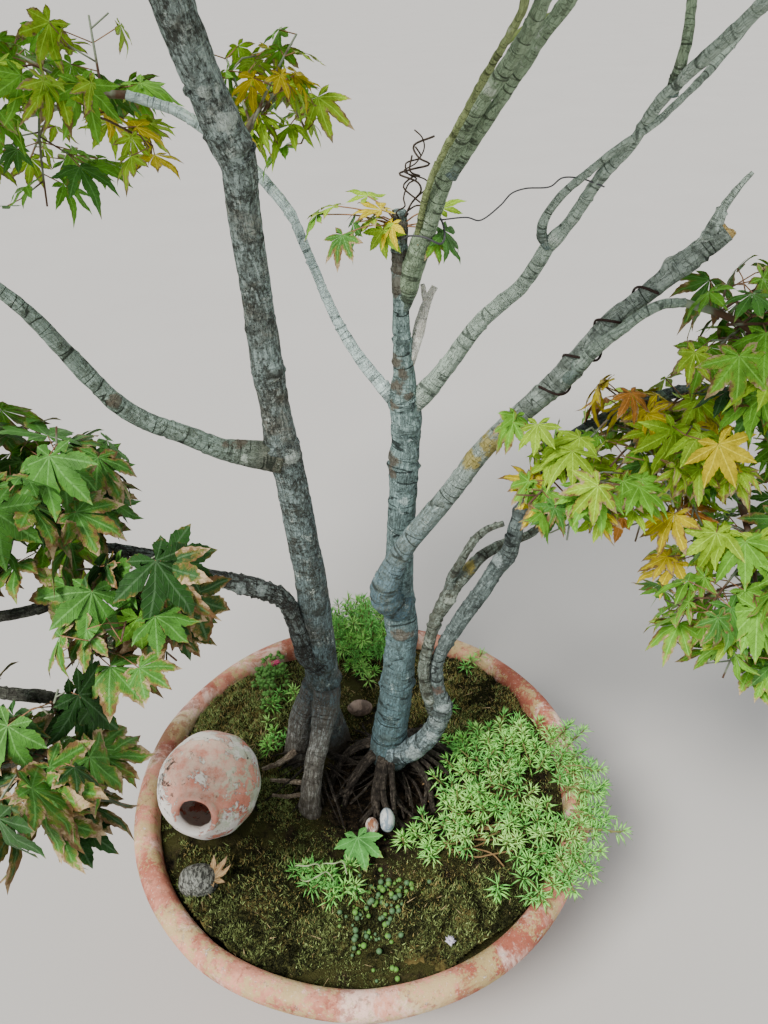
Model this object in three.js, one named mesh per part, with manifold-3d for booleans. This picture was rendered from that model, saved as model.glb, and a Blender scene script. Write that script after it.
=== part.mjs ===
// A maple bonsai in a terracotta bowl: two trunks on exposed roots, trained boughs and an
// open crown, with the moss, stonecrop, small clay jar and stones that stand in the bowl.
// Millimetres, +Z up. The origin is the centre of the bowl's flat underside. The tree's
// front faces -Y and its right side faces +X.
import * as THREE from "three";
import { mergeVertices } from "three/addons/utils/BufferGeometryUtils.js";
import Module from "manifold-3d";

const wasm = await Module();
wasm.setup();

// Clearance between neighbouring solids.
const CLEAR = 0.3;

// The bowl: a round terracotta planter with a rolled rim.
const RIM_RADIUS = 270;
const RIM_TOP = 215;
const RIM_BAND = 30;
const RIM_WIDTH = 27;
const RIM_ROUND = 8;
const BASE_RADIUS = 150;
const BASE_THICKNESS = 22;
const WALL = 18;
const BOWL_SEGMENTS = 24;

// The bowl's wall above its foot: how far outside the foot it is at these heights.
const WALL_BULGE = [
  { out: 12, height: 10 },
  { out: 62, height: 70 },
  { out: 94, height: 130 },
];

// The filling ends below the rim. The trunks are cut flat where they stand on it.
const SOIL_TOP = 195;
const GROUND = SOIL_TOP + CLEAR;

// Limbs are tubes of this many sides, with a ring every LIMB_STEP.
const TRUNK_SIDES = 9;
const BOUGH_SIDES = 6;
const THIN_SIDES = 6;
const ROOT_SIDES = 5;
const LIMB_STEP = 66;

// A leaf's proportions, as parts of its length: five lobes round a palm.
const LEAF_PALM = 0.16;
const LEAF_THICKNESS = 0.03;
const LOBES = [
  { angle: 0, length: 0.84 },
  { angle: 50, length: 0.7 },
  { angle: 104, length: 0.42 },
];
const NOTCH_LENGTH = 0.3;
const LEAF_DROOP = 0.3;
const STALK_WIDTH = 4;
const SIDE_STALK = 14;
const SIDE_TURNS = [1.25, -1.25];
const TWIG_WIDTH = 5;
const STEM_SIDES = 3;
const STEM_WIDTH = 12;

// Twigs leave this stretch of a mass's stem, and side leaves this stretch of a twig.
const TWIG_ZONE = [0.5, 0.96];
const SIDE_ZONE = [0.5, 0.85];

// How much of a leaf's stalk may lie in the piece that carries it, in cubic millimetres.
const JOINT = 110;

// Twig ends wind round a mass's space by this angle, and use this share of its height.
const GOLDEN_ANGLE = Math.PI * (3 - Math.sqrt(5));
const HEIGHT_USED = 0.86;
const LEAF_ROOM = 0.9;
const LEAST_RING = 0.12;
const RING_SHARE = [0.8, 1];
const END_STRAY = 0.5;
const LEAF_TRIES = 30;
const FIRST_SEED = 1;

// A leaf's rise from level, its size in parts of its mass's own, how much of that the last
// try gives up, and its roll in radians.
const LEAF_RISE = [0.3, -0.4];
const LEAF_SIZES = [1.1, 0.9];
const LEAF_SHRINK = 0.4;
const LEAF_ROLL = 0.8;

// The angle within which a twig or side leaf swings at its first try, and what each adds to
// it by its last. Twigs leave the stem evenly but for TWIG_STRAY of their spacing.
const FIRST_SWING = 0.4;
const TWIG_SWING = 2;
const SIDE_SWING = 3;
const TWIG_STRAY = 0.6;

// How much nearer a point is to its own space than to any other, in parts of the reach.
const SPACE_MARGIN = 0.03;

// Surface colours of the real plant and its bowl.
const COLOURS = {
  terracotta: 0xc58a6c,
  soil: 0x3a2c20,
  moss: 0x5c5a24,
  barkGrey: 0x77786a,
  barkBlueGreen: 0x7f938a,
  barkPale: 0xb3bda0,
  barkOlive: 0x8f9a62,
  barkDark: 0x585c48,
  deadWood: 0xb9ad93,
  leafGreen: 0x4f7d2e,
  leafDark: 0x3a602c,
  leafYellow: 0xa3ad3c,
  stonecrop: 0x93b85a,
  stone: 0x8b8479,
};

const UP = new THREE.Vector3(0, 0, 1);

const root = new THREE.Group();
const groups = {};
for (const kind of ["bowl", "trunks", "boughs", "foliage", "dressing"]) {
  groups[kind] = new THREE.Group();
  root.add(groups[kind]);
}

// A closed geometry as a solid.
function solidOf(geometry) {
  const bare = geometry.clone();
  bare.deleteAttribute("normal");
  bare.deleteAttribute("uv");
  const merged = mergeVertices(bare, 1e-4);
  const mesh = new wasm.Mesh({
    numProp: 3,
    vertProperties: merged.attributes.position.array,
    triVerts: new Uint32Array(merged.index.array),
  });
  return new wasm.Manifold(mesh);
}

function geometryOf(solid) {
  const mesh = solid.getMesh();
  const geometry = new THREE.BufferGeometry();
  geometry.setAttribute("position", new THREE.BufferAttribute(mesh.vertProperties, 3));
  geometry.setIndex(new THREE.BufferAttribute(mesh.triVerts, 1));
  geometry.computeVertexNormals();
  return geometry;
}

function addMesh(group, name, solid, colour, roughness) {
  const material = new THREE.MeshStandardMaterial({ color: colour, roughness, metalness: 0 });
  material.flatShading = true;
  const mesh = new THREE.Mesh(geometryOf(solid), material);
  mesh.name = name;
  group.add(mesh);
}

// The largest body of a solid that a cut may have left in pieces.
function largest(solid) {
  const bodies = solid.decompose();
  bodies.sort((a, b) => b.volume() - a.volume());
  return bodies[0];
}

function boxesMeet(a, b) {
  const p = a.boundingBox();
  const q = b.boundingBox();
  return [0, 1, 2].every((i) => p.min[i] <= q.max[i] && q.min[i] <= p.max[i]);
}

function overlap(a, b) {
  return boxesMeet(a, b) ? a.intersect(b).volume() : 0;
}

// Everything placed so far, grown by the clearance. Later pieces are cut clear of it.
const placed = [];

function cutClear(solid) {
  let cut = solid;
  for (const grown of placed) {
    if (boxesMeet(cut, grown)) cut = cut.subtract(grown);
  }
  return largest(cut);
}

function touchesPlaced(solid) {
  return placed.some((grown) => overlap(solid, grown) > 0);
}

// A repeatable stream of numbers from 0 to 1.
function randomFrom(seed) {
  let state = seed * 2654435761;
  return () => {
    state = (state + 0x6d2b79f5) | 0;
    let mixed = Math.imul(state ^ (state >>> 15), 1 | state);
    mixed = (mixed + Math.imul(mixed ^ (mixed >>> 7), 61 | mixed)) ^ mixed;
    return ((mixed ^ (mixed >>> 14)) >>> 0) / 4294967296;
  };
}

// A tapering tube through stations [x, y, z, diameter]: a cylinder bent along a curve.
function tube(stations, sides, step, grow = 0) {
  const points = stations.map(([x, y, z]) => new THREE.Vector3(x, y, z));
  const curve = new THREE.CatmullRomCurve3(points, false, "centripetal");
  const steps = Math.max(1, Math.round(curve.getLength() / step));
  const frames = curve.computeFrenetFrames(steps);
  const geometry = new THREE.CylinderGeometry(1, 1, 1, sides, steps);
  const position = geometry.attributes.position;
  const corner = 1 / Math.cos(Math.PI / sides);
  const spot = new THREE.Vector3();
  for (let i = 0; i < position.count; i++) {
    const along = position.getY(i) + 0.5;
    const ring = Math.round(along * steps);
    const t = curve.getUtoTmapping(along);
    const span = t * (stations.length - 1);
    const first = Math.min(Math.floor(span), stations.length - 2);
    const width = THREE.MathUtils.lerp(stations[first][3], stations[first + 1][3], span - first);
    const radius = width / 2 + grow * corner;
    spot.copy(curve.getPoint(t));
    spot.addScaledVector(frames.normals[ring], position.getX(i) * radius);
    spot.addScaledVector(frames.binormals[ring], -position.getZ(i) * radius);
    const end = ring === 0 ? -grow : ring === steps ? grow : 0;
    spot.addScaledVector(frames.tangents[ring], end);
    position.setXYZ(i, spot.x, spot.y, spot.z);
  }
  return solidOf(geometry);
}

// A bough or trunk: its own stations, fused with any roots or stubs, cut clear of what
// was placed before it. Its far end is kept, so that a mass of leaves can grow on from it.
const tips = {};

function limb(group, name, colour, sides, stations, extras = [], ground = false) {
  const parts = [stations, ...extras];
  const build = (grow) => {
    const tubes = parts.map((part, i) => tube(part, i ? ROOT_SIDES : sides, LIMB_STEP, grow));
    const joined = tubes.length > 1 ? wasm.Manifold.union(tubes) : tubes[0];
    return ground ? joined.trimByPlane([0, 0, 1], GROUND - grow) : joined;
  };
  addMesh(group, name, cutClear(build(0)), colour, 0.85);
  placed.push(build(CLEAR));
  const [x, y, z, width] = stations[stations.length - 1];
  tips[name] = { at: [x, y, z], width };
}

// A leaf with its stalk as one closed solid. The blade starts at spot and runs along
// direction, rolled round it. Both its faces are fans round the palm. The stalk is a
// three-sided rod that leaves the palm on the face that looks towards root.
function leafSolid(spot, direction, roll, length, root, rootWidth) {
  const side = UP.clone().cross(direction).normalize().applyAxisAngle(direction, roll);
  const up = direction.clone().cross(side);
  const stalk = spot.clone().sub(root).normalize();
  const facing = up.dot(stalk) > 0 ? -1 : 1;
  side.multiplyScalar(facing);
  up.multiplyScalar(facing);
  const at = (x, y, z) => {
    const point = spot.clone().addScaledVector(direction, x);
    return point.addScaledVector(side, y).addScaledVector(up, z);
  };
  const palm = LEAF_PALM * length;
  const rimPoint = (angle, part, hand) => {
    const turn = THREE.MathUtils.degToRad(angle);
    const reach = part * length;
    const y = hand * reach * Math.sin(turn);
    return at(palm + reach * Math.cos(turn), y, -facing * LEAF_DROOP * reach * part);
  };
  const neck = STALK_WIDTH / 2;
  const half = (hand) => [
    rimPoint(LOBES[1].angle / 2, NOTCH_LENGTH, hand),
    rimPoint(LOBES[1].angle, LOBES[1].length, hand),
    rimPoint(LOBES[2].angle, LOBES[2].length, hand),
    at(0, hand * neck, 0),
  ];
  const tip = rimPoint(0, LOBES[0].length, 1);
  const chain = [...half(-1).reverse(), tip, ...half(1)];
  const thick = (LEAF_THICKNESS * length) / 2;
  const across = side.clone().projectOnPlane(stalk).normalize();
  const over = stalk.clone().cross(across);
  const heel = root.clone().addScaledVector(over, -rootWidth / 4);
  const ring = [
    heel.clone().addScaledVector(across, -rootWidth / 2),
    root.clone().addScaledVector(over, rootWidth / 2),
    heel.clone().addScaledVector(across, rootWidth / 2),
  ];
  const corners = [...chain, at(palm, 0, thick), at(palm, 0, -thick), ...ring];
  const last = chain.length - 1;
  const top = chain.length;
  const low = top + 1;
  const first = low + 1;
  const faces = [];
  for (let i = 0; i < last; i++) faces.push(i, i + 1, top, i + 1, i, low);
  faces.push(0, last, low);
  const neckRing = [0, top, last];
  for (let i = 0; i < 3; i++) {
    const next = (i + 1) % 3;
    faces.push(neckRing[i], neckRing[next], first + i);
    faces.push(neckRing[next], first + next, first + i);
  }
  faces.push(first, first + 1, first + 2);
  const geometry = new THREE.BufferGeometry().setFromPoints(corners);
  geometry.setIndex(faces);
  return solidOf(geometry);
}

// The space that each mass of foliage keeps to: an ellipsoid, shared out where two meet.
const spaces = [];

function spaceDistance(space, point) {
  const [x, y, z] = space.centre;
  const [rx, ry, rz] = space.reach;
  return Math.hypot((point.x - x) / rx, (point.y - y) / ry, (point.z - z) / rz);
}

function keepsToSpace(space, solid) {
  const mesh = solid.getMesh();
  const spot = new THREE.Vector3();
  for (let i = 0; i < mesh.numVert; i++) {
    spot.fromArray(mesh.vertProperties, i * mesh.numProp);
    const own = spaceDistance(space, spot);
    if (own > 1) return false;
    const taken = (other) => other !== space && spaceDistance(other, spot) < own + SPACE_MARGIN;
    if (spaces.some(taken)) return false;
  }
  return true;
}

// The end of one of a mass's twigs: the ends wind round the space from its top to its
// bottom, each far enough inside it to leave room for a leaf.
function twigEnd(space, index, count, random) {
  const height = HEIGHT_USED * (1 - (2 * index + 1) / count);
  const room = Math.sqrt(1 - height * height) - (LEAF_ROOM * space.leaf) / space.reach[0];
  const ring = Math.max(LEAST_RING, room) * THREE.MathUtils.lerp(...RING_SHARE, random());
  const turn = index * GOLDEN_ANGLE + space.seed + END_STRAY * random();
  const [x, y, z] = space.centre;
  const [rx, ry, rz] = space.reach;
  return new THREE.Vector3(
    x + rx * ring * Math.cos(turn),
    y + ry * ring * Math.sin(turn),
    z + rz * height,
  );
}

// A mass of leaves: one stem from the limb that carries it, and twigs that leave it towards
// ends spread through its space. Each twig is the long stalk of the leaf at its end, and
// carries a leaf at either side. A leaf that would leave the space, touch a limb or cross
// another piece is tried again, turned further and a little smaller, and then skipped.
function foliage(space) {
  const random = randomFrom(space.seed);
  const { tip } = space;
  const start = new THREE.Vector3(...tip.at);
  const centre = new THREE.Vector3(...space.centre);
  const width = Math.min(tip.width, STEM_WIDTH);
  const ends = [[...start, width], [...centre, TWIG_WIDTH]];
  const stem = tube(ends, STEM_SIDES, start.distanceTo(centre));
  const pieces = [stem];
  const leafOn = (carrier, rootWidth, place) => {
    for (let attempt = 0; attempt < LEAF_TRIES; attempt++) {
      const { root, direction, spot } = place(attempt / LEAF_TRIES);
      direction.setZ(THREE.MathUtils.lerp(...LEAF_RISE, random())).normalize();
      const size = THREE.MathUtils.lerp(...LEAF_SIZES, random());
      const length = space.leaf * (size - (LEAF_SHRINK * attempt) / LEAF_TRIES);
      const blade = spot || root.clone().addScaledVector(direction, SIDE_STALK);
      const roll = (random() - 0.5) * LEAF_ROLL;
      const leaf = leafSolid(blade, direction, roll, length, root, rootWidth);
      if (touchesPlaced(leaf) || !keepsToSpace(space, leaf)) continue;
      if (pieces.some((piece) => overlap(leaf, piece) > (piece === carrier ? JOINT : 0))) continue;
      pieces.push(leaf);
      return { leaf, root, spot };
    }
    return null;
  };
  const turned = (direction, angle, spread) =>
    direction.clone().applyAxisAngle(UP, angle + (random() - 0.5) * spread);
  const twigs = Math.ceil(space.leaves / (1 + SIDE_TURNS.length));
  for (let i = 0; i < twigs; i++) {
    const twig = leafOn(stem, TWIG_WIDTH, (effort) => {
      const end = twigEnd(space, i + effort * (random() - 0.5), twigs, random);
      const along = THREE.MathUtils.lerp(...TWIG_ZONE, (i + TWIG_STRAY * random()) / twigs);
      const outward = end.clone().sub(centre).setZ(0).normalize();
      const direction = turned(outward, 0, FIRST_SWING + TWIG_SWING * effort);
      return { root: start.clone().lerp(centre, along), direction, spot: end };
    });
    if (!twig) continue;
    const outward = twig.spot.clone().sub(centre).setZ(0).normalize();
    for (const turn of SIDE_TURNS) {
      leafOn(twig.leaf, STALK_WIDTH, (effort) => ({
        root: twig.root.clone().lerp(twig.spot, THREE.MathUtils.lerp(...SIDE_ZONE, random())),
        direction: turned(outward, turn, FIRST_SWING + SIDE_SWING * effort),
      }));
    }
  }
  addMesh(groups.foliage, space.name, cutClear(wasm.Manifold.union(pieces)), COLOURS[space.colour], 0.7);
}

// The bowl's inside below the rim band, from the band down to the middle of the floor.
function insideSection(inset) {
  const [, middle, high] = WALL_BULGE;
  return [
    [RIM_RADIUS - RIM_WIDTH - RIM_ROUND / 4 - inset, RIM_TOP - RIM_BAND],
    [BASE_RADIUS + high.out - WALL - inset, high.height],
    [BASE_RADIUS + middle.out - WALL - inset, middle.height],
    [BASE_RADIUS - inset, BASE_THICKNESS + inset],
    [0, BASE_THICKNESS + inset],
  ];
}

// The bowl's section, from the middle of its underside out, over the rim and back inside.
function bowlSection(grow) {
  const inner = RIM_RADIUS - RIM_WIDTH;
  const rimLow = RIM_TOP - RIM_BAND;
  return [
    [0, -grow],
    [BASE_RADIUS + grow, -grow],
    ...WALL_BULGE.map(({ out, height }) => [BASE_RADIUS + out + grow, height]),
    [RIM_RADIUS - RIM_ROUND + grow, rimLow - grow],
    [RIM_RADIUS + grow, rimLow + RIM_ROUND],
    [RIM_RADIUS + grow, RIM_TOP - RIM_ROUND],
    [RIM_RADIUS - RIM_ROUND + grow, RIM_TOP + grow],
    [inner + RIM_ROUND - grow, RIM_TOP + grow],
    [inner - grow, RIM_TOP - RIM_ROUND],
    ...insideSection(grow),
  ];
}

// A solid of revolution round +Z, from points [radius, height].
function lathed(section, segments) {
  const profile = section.map(([radius, height]) => new THREE.Vector2(radius, height));
  return solidOf(new THREE.LatheGeometry(profile, segments).rotateX(Math.PI / 2));
}

function addBowl() {
  addMesh(groups.bowl, "pot", lathed(bowlSection(0), BOWL_SEGMENTS), COLOURS.terracotta, 0.8);
  placed.push(lathed(bowlSection(CLEAR), BOWL_SEGMENTS));
}

// The filling: all of the bowl's inside up to the ground that the trunks stand on.
function addSoil() {
  const section = insideSection(CLEAR * 1.2).reverse();
  const [edge] = section[section.length - 1];
  section.push([edge, SOIL_TOP], [0, SOIL_TOP]);
  addMesh(groups.bowl, "soil_fill", lathed(section, BOWL_SEGMENTS), COLOURS.soil, 1);
}

function addTrunks() {
  const leg = [
    [-32, 46, 326, 26],
    [-39, 38, 294, 30],
    [-46, 14, 264, 24],
    [-56, -10, 234, 24],
    [-62, -38, 184, 30],
  ];
  const heel = [
    [-52, 56, 310, 26],
    [-72, 50, 256, 28],
    [-84, 42, 184, 34],
  ];
  limb(
    groups.trunks,
    "left_trunk",
    COLOURS.barkGrey,
    TRUNK_SIDES,
    [
      [-38, 66, 184, 56],
      [-46, 61, 262, 42],
      [-41, 54, 360, 42],
      [-43, 48, 520, 36],
      [-53, 42, 641, 37],
      [-58, 40, 706, 31],
      [-60, 36, 813, 28],
      [-62, 25, 890, 29],
      [-72, 2, 951, 31],
      [-81, -24, 1004, 31],
      [-86, -34, 1050, 34],
    ],
    [leg, heel],
    true,
  );
  const rootCrown = new THREE.Vector3(36, 18, 244);
  const feet = [
    { turn: -170, spread: 78, width: 15 },
    { turn: -138, spread: 78, width: 13 },
    { turn: -101, spread: 86, width: 17 },
    { turn: -76, spread: 80, width: 12 },
    { turn: -50, spread: 84, width: 13 },
    { turn: -8, spread: 94, width: 17 },
    { turn: 52, spread: 84, width: 17 },
    { turn: 124, spread: 62, width: 17 },
  ];
  const roots = feet.map((foot) => {
    const turn = THREE.MathUtils.degToRad(foot.turn);
    const at = (part, z, width) => [
      rootCrown.x + foot.spread * part * Math.cos(turn),
      rootCrown.y + foot.spread * part * Math.sin(turn),
      z,
      width,
    ];
    return [
      at(0.05, rootCrown.z + 4, foot.width + 12),
      at(0.42, rootCrown.z - 10, foot.width + 2),
      at(0.75, rootCrown.z - 32, foot.width - 1),
      at(1, GROUND - 10, foot.width - 2),
    ];
  });
  limb(
    groups.trunks,
    "central_trunk",
    COLOURS.barkBlueGreen,
    TRUNK_SIDES,
    [
      [36, 18, 226, 54],
      [37, 17, 262, 45],
      [44, 19, 320, 40],
      [52, 23, 400, 37],
      [53, 27, 470, 35],
      [58, 30, 598, 29],
      [62, 30, 674, 29],
      [62, 30, 722, 20],
      [60, 30, 790, 14],
      [60, 30, 858, 10],
    ],
    roots,
    true,
  );
}

// The boughs, each from inside the limb that carries it to where its foliage begins.
function addBoughs() {
  const bough = (name, colour, sides, stations, extras) =>
    limb(groups.boughs, name, COLOURS[colour], sides, stations, extras);
  const brokenSpike = [
    [291, -10, 836, 12],
    [299, -10, 862, 8],
    [315, -10, 886, 4],
  ];
  bough(
    "bough_right_cut",
    "barkPale",
    BOUGH_SIDES + 1,
    [
      [50, 22, 462, 26],
      [38, 5, 492, 26],
      [60, 0, 555, 22],
      [115, 0, 633, 19],
      [171, 0, 701, 20],
      [213, 0, 749, 21],
      [250, -2, 792, 17],
      [283, -8, 825, 19],
      [304, -10, 845, 17],
    ],
    [brokenSpike],
  );
  bough("branch_right_wired", "barkOlive", THIN_SIDES, [
    [196, -4, 726, 12],
    [219, -15, 757, 11],
    [248, -20, 786, 10],
    [280, -18, 793, 8],
  ]);
  bough("bough_low_right", "barkBlueGreen", BOUGH_SIDES, [
    [36, 6, 248, 23],
    [60, 0, 254, 24],
    [82, -3, 278, 24],
    [96, -3, 322, 25],
    [91, 1, 374, 15],
    [115, 12, 442, 18],
    [153, 16, 510, 18],
    [170, 18, 562, 16],
    [193, 24, 616, 16],
    [242, 40, 658, 14],
    [311, 58, 675, 13],
    [376, 64, 672, 11],
  ]);
  const twinSpur = [
    [104, 18, 480, 10],
    [112, 13, 516, 10],
    [130, 10, 554, 9],
    [154, 6, 570, 7],
  ];
  bough(
    "branch_low_right_twin",
    "barkDark",
    THIN_SIDES,
    [
      [91, -1, 322, 17],
      [77, 2, 372, 15],
      [86, 9, 432, 14],
      [107, 18, 484, 17],
      [136, 30, 514, 14],
      [163, 41, 522, 11],
      [210, 54, 542, 8],
    ],
    [twinSpur],
  );
  bough("branch_low_right_hanging", "barkBlueGreen", THIN_SIDES, [
    [300, 56, 676, 10],
    [330, 10, 658, 9],
    [356, -34, 616, 7],
  ]);
  bough("bough_upper_right", "barkPale", BOUGH_SIDES, [
    [61, 30, 684, 18],
    [81, 27, 704, 18],
    [126, 18, 770, 14],
    [172, -3, 838, 13],
    [200, -28, 890, 10],
    [222, -66, 942, 9],
    [252, -122, 995, 9],
    [306, -166, 1066, 9],
    [356, -188, 1130, 8],
  ]);
  bough("branch_upper_right_thin", "barkOlive", THIN_SIDES, [
    [175, -4, 836, 9],
    [165, -10, 852, 8],
    [186, -27, 890, 6],
    [221, -56, 926, 6],
    [253, -42, 950, 6],
    [340, -6, 1044, 7],
    [408, 24, 1120, 7],
  ]);
  bough("branch_upper_right_back", "barkOlive", THIN_SIDES, [
    [226, -72, 946, 8],
    [227, -80, 982, 7],
    [240, 0, 1060, 8],
    [252, 150, 1146, 8],
  ]);
  bough("leader_right", "barkOlive", BOUGH_SIDES, [
    [61, 30, 780, 12],
    [69, 25, 806, 19],
    [83, 6, 857, 16],
    [99, -18, 909, 14],
    [120, -58, 956, 12],
    [134, -106, 996, 11],
    [146, -150, 1062, 12],
    [118, -204, 1136, 12],
    [72, -256, 1190, 11],
  ]);
  bough("leader_right_twin", "barkOlive", THIN_SIDES, [
    [96, -12, 892, 9],
    [118, -30, 930, 11],
    [140, -58, 972, 10],
    [164, -74, 1012, 10],
    [184, -50, 1180, 10],
    [176, -30, 1300, 9],
  ]);
  bough("stem_right_slender", "barkOlive", THIN_SIDES, [
    [74, 8, 846, 6],
    [82, -12, 889, 6],
    [98, -48, 930, 6],
    [112, -90, 969, 6],
    [124, -122, 1002, 6],
    [112, -80, 1070, 7],
    [70, 40, 1156, 7],
    [-10, 176, 1216, 7],
  ]);
  bough("stub_dead_right", "deadWood", THIN_SIDES, [
    [65, 32, 728, 10],
    [77, 42, 762, 11],
    [90, 51, 790, 6],
  ]);
  bough("branch_left_slender", "barkPale", THIN_SIDES, [
    [57, 33, 690, 12],
    [13, 55, 740, 11],
    [-12, 78, 796, 9],
    [-33, 96, 846, 10],
    [-85, 114, 899, 10],
    [-160, 124, 936, 9],
  ]);
  bough("bough_left", "barkBlueGreen", BOUGH_SIDES, [
    [-56, 38, 636, 25],
    [-94, 30, 647, 22],
    [-122, 22, 663, 19],
    [-170, 8, 698, 16],
    [-210, 0, 752, 16],
    [-246, -13, 819, 12],
    [-318, -20, 880, 12],
    [-356, -22, 910, 11],
  ]);
  bough("bough_low_left", "barkGrey", BOUGH_SIDES, [
    [-40, 48, 350, 25],
    [-55, 43, 395, 25],
    [-68, 38, 450, 22],
    [-85, 33, 474, 21],
    [-118, 24, 496, 20],
    [-181, -4, 552, 13],
    [-246, -24, 588, 11],
  ]);
  bough("branch_low_left_outer", "barkDark", THIN_SIDES, [
    [-206, -12, 566, 10],
    [-264, -60, 548, 11],
    [-336, -92, 556, 10],
  ]);
  bough("branch_low_left_front", "barkDark", THIN_SIDES, [
    [-330, -88, 555, 9],
    [-318, -122, 512, 11],
    [-266, -128, 500, 12],
    [-234, -134, 500, 8],
  ]);
  bough("leader_left", "barkGrey", BOUGH_SIDES, [
    [-86, -34, 1044, 30],
    [-100, -14, 1110, 26],
    [-134, 36, 1240, 19],
    [-150, 60, 1390, 13],
  ]);
  bough("bough_left_front", "barkGrey", BOUGH_SIDES, [
    [-86, -36, 1038, 23],
    [-140, -70, 1080, 20],
    [-240, -108, 1160, 15],
    [-300, -130, 1222, 12],
  ]);
  bough("bough_left_back", "barkGrey", BOUGH_SIDES, [
    [-84, -30, 1046, 20],
    [-112, 44, 1096, 18],
    [-190, 120, 1160, 14],
    [-270, 162, 1218, 11],
  ]);
}

// Leaves have the size of the real ones in the low sprays, and stand for several in the
// crown.
const SPRAY_LEAF = 86;
const CROWN_LEAF = 150;
const MASS_KINDS = {
  crown: { reach: [200, 182, 132], leaves: 12, leaf: CROWN_LEAF },
  spray: { reach: [118, 108, 92], leaves: 9, leaf: SPRAY_LEAF },
};

// Each mass of foliage: the tip of its bough, or for a side shoot the spot inside a limb,
// that its stem grows from, the middle of its space, and where it differs from its kind.
function addFoliage() {
  const mass = (kind, name, tip, centre, colour, changes = {}) => {
    const seed = spaces.length + FIRST_SEED;
    spaces.push({ ...MASS_KINDS[kind], name, tip, centre, colour, seed, ...changes });
  };
  const crown = (...about) => mass("crown", ...about);
  const spray = (...about) => mass("spray", ...about);
  crown("foliage_top_left", tips.leader_left, [-150, 70, 1556], "leafGreen");
  crown("foliage_top_right", tips.leader_right_twin, [190, -10, 1436], "leafGreen");
  crown("foliage_left_front", tips.bough_left_front, [-424, -172, 1300], "leafGreen");
  crown("foliage_left_back", tips.bough_left_back, [-384, 222, 1296], "leafYellow");
  crown("foliage_back", tips.stem_right_slender, [-60, 370, 1290], "leafGreen");
  crown("foliage_back_right", tips.branch_upper_right_back, [272, 330, 1246], "leafGreen");
  crown("foliage_right", tips.branch_upper_right_thin, [536, 94, 1210], "leafYellow");
  crown("foliage_right_front", tips.bough_upper_right, [442, -262, 1220], "leafGreen");
  crown("foliage_front", tips.leader_right, [4, -342, 1294], "leafGreen", {
    reach: [200, 170, 126],
  });
  spray("foliage_left_middle", tips.bough_left, [-476, -20, 970], "leafGreen", {
    reach: [150, 150, 108],
    leaf: 104,
  });
  spray("foliage_left_high", tips.branch_left_slender, [-238, 152, 922], "leafYellow", {
    reach: [126, 110, 92],
  });
  spray(
    "foliage_trunk_spray",
    { at: [-64, 21, 902], width: 8 },
    [-36, 118, 934],
    "leafYellow",
    { reach: [70, 66, 56], leaves: 6, leaf: 64 },
  );
  spray(
    "foliage_stub_spray",
    { at: [60, 30, 846], width: 5 },
    [36, 16, 866],
    "leafYellow",
    { reach: [80, 66, 50], leaves: 7, leaf: 52 },
  );
  spray("foliage_right_high", tips.branch_right_wired, [352, -32, 758], "leafGreen", {
    reach: [98, 90, 78],
  });
  spray(
    "foliage_right_near",
    { at: [193, 24, 616], width: 7 },
    [194, -52, 640],
    "leafYellow",
    { reach: [92, 84, 80], leaves: 8, leaf: 62 },
  );
  spray(
    "foliage_right_inner",
    { at: [270, 47, 665], width: 8 },
    [284, -12, 650],
    "leafGreen",
    { reach: [106, 98, 86] },
  );
  spray("foliage_right_outer", tips.bough_low_right, [486, 56, 652], "leafYellow");
  spray("foliage_right_low", tips.branch_low_right_hanging, [366, -82, 552], "leafGreen");
  spray("foliage_left_inner", tips.bough_low_left, [-284, -30, 636], "leafDark", {
    reach: [134, 112, 86],
  });
  spray(
    "foliage_left_near",
    { at: [-181, -4, 552], width: 7 },
    [-186, -108, 566],
    "leafDark",
    { reach: [92, 92, 84] },
  );
  spray("foliage_left_outer", tips.branch_low_left_outer, [-440, -120, 560], "leafDark");
  spray("foliage_left_low", tips.branch_low_left_front, [-246, -216, 514], "leafDark", {
    reach: [110, 96, 90],
  });
  spaces.forEach(foliage);
}

// A blunt pebble or a low cushion: a ball stretched to its reach, with soft lumps that
// repeat at their own rate along each axis.
const LUMP_RATES = [3.1, 3.7, 4.3];
const LUMP_RINGS = 5;

function lump(centre, reach, seed, sides, roughness) {
  const geometry = new THREE.SphereGeometry(1, sides, LUMP_RINGS).rotateX(Math.PI / 2);
  const position = geometry.attributes.position;
  const spot = new THREE.Vector3();
  for (let i = 0; i < position.count; i++) {
    spot.fromBufferAttribute(position, i);
    const waves = spot.toArray().map((c, axis) => Math.sin(LUMP_RATES[axis] * c + seed * (axis + 1)));
    const swell = 1 + roughness * (waves[0] + waves[1] + waves[2]);
    spot.multiplyScalar(swell).multiply(new THREE.Vector3(...reach));
    position.setXYZ(i, spot.x + centre[0], spot.y + centre[1], spot.z + centre[2]);
  }
  return solidOf(geometry);
}

// The small clay jar lies on its side, its mouth towards the front and a little upwards.
const JAR_RADIUS = 57;
const JAR_SEGMENTS = 12;
const JAR_CENTRE = new THREE.Vector3(-166, -42, GROUND + JAR_RADIUS);
const JAR_AXIS = new THREE.Vector3(0.06, -0.94, 0.32).normalize();
const JAR_SECTION = [
  [0, -0.95],
  [0.4, -0.95],
  [0.78, -0.66],
  [0.97, -0.26],
  [1, 0.06],
  [0.9, 0.45],
  [0.66, 0.76],
  [0.48, 0.88],
  [0.62, 1.04],
  [0.58, 1.12],
  [0.42, 1.06],
  [0.34, 0.9],
  [0.34, 0.3],
  [0, 0.3],
];

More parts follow.
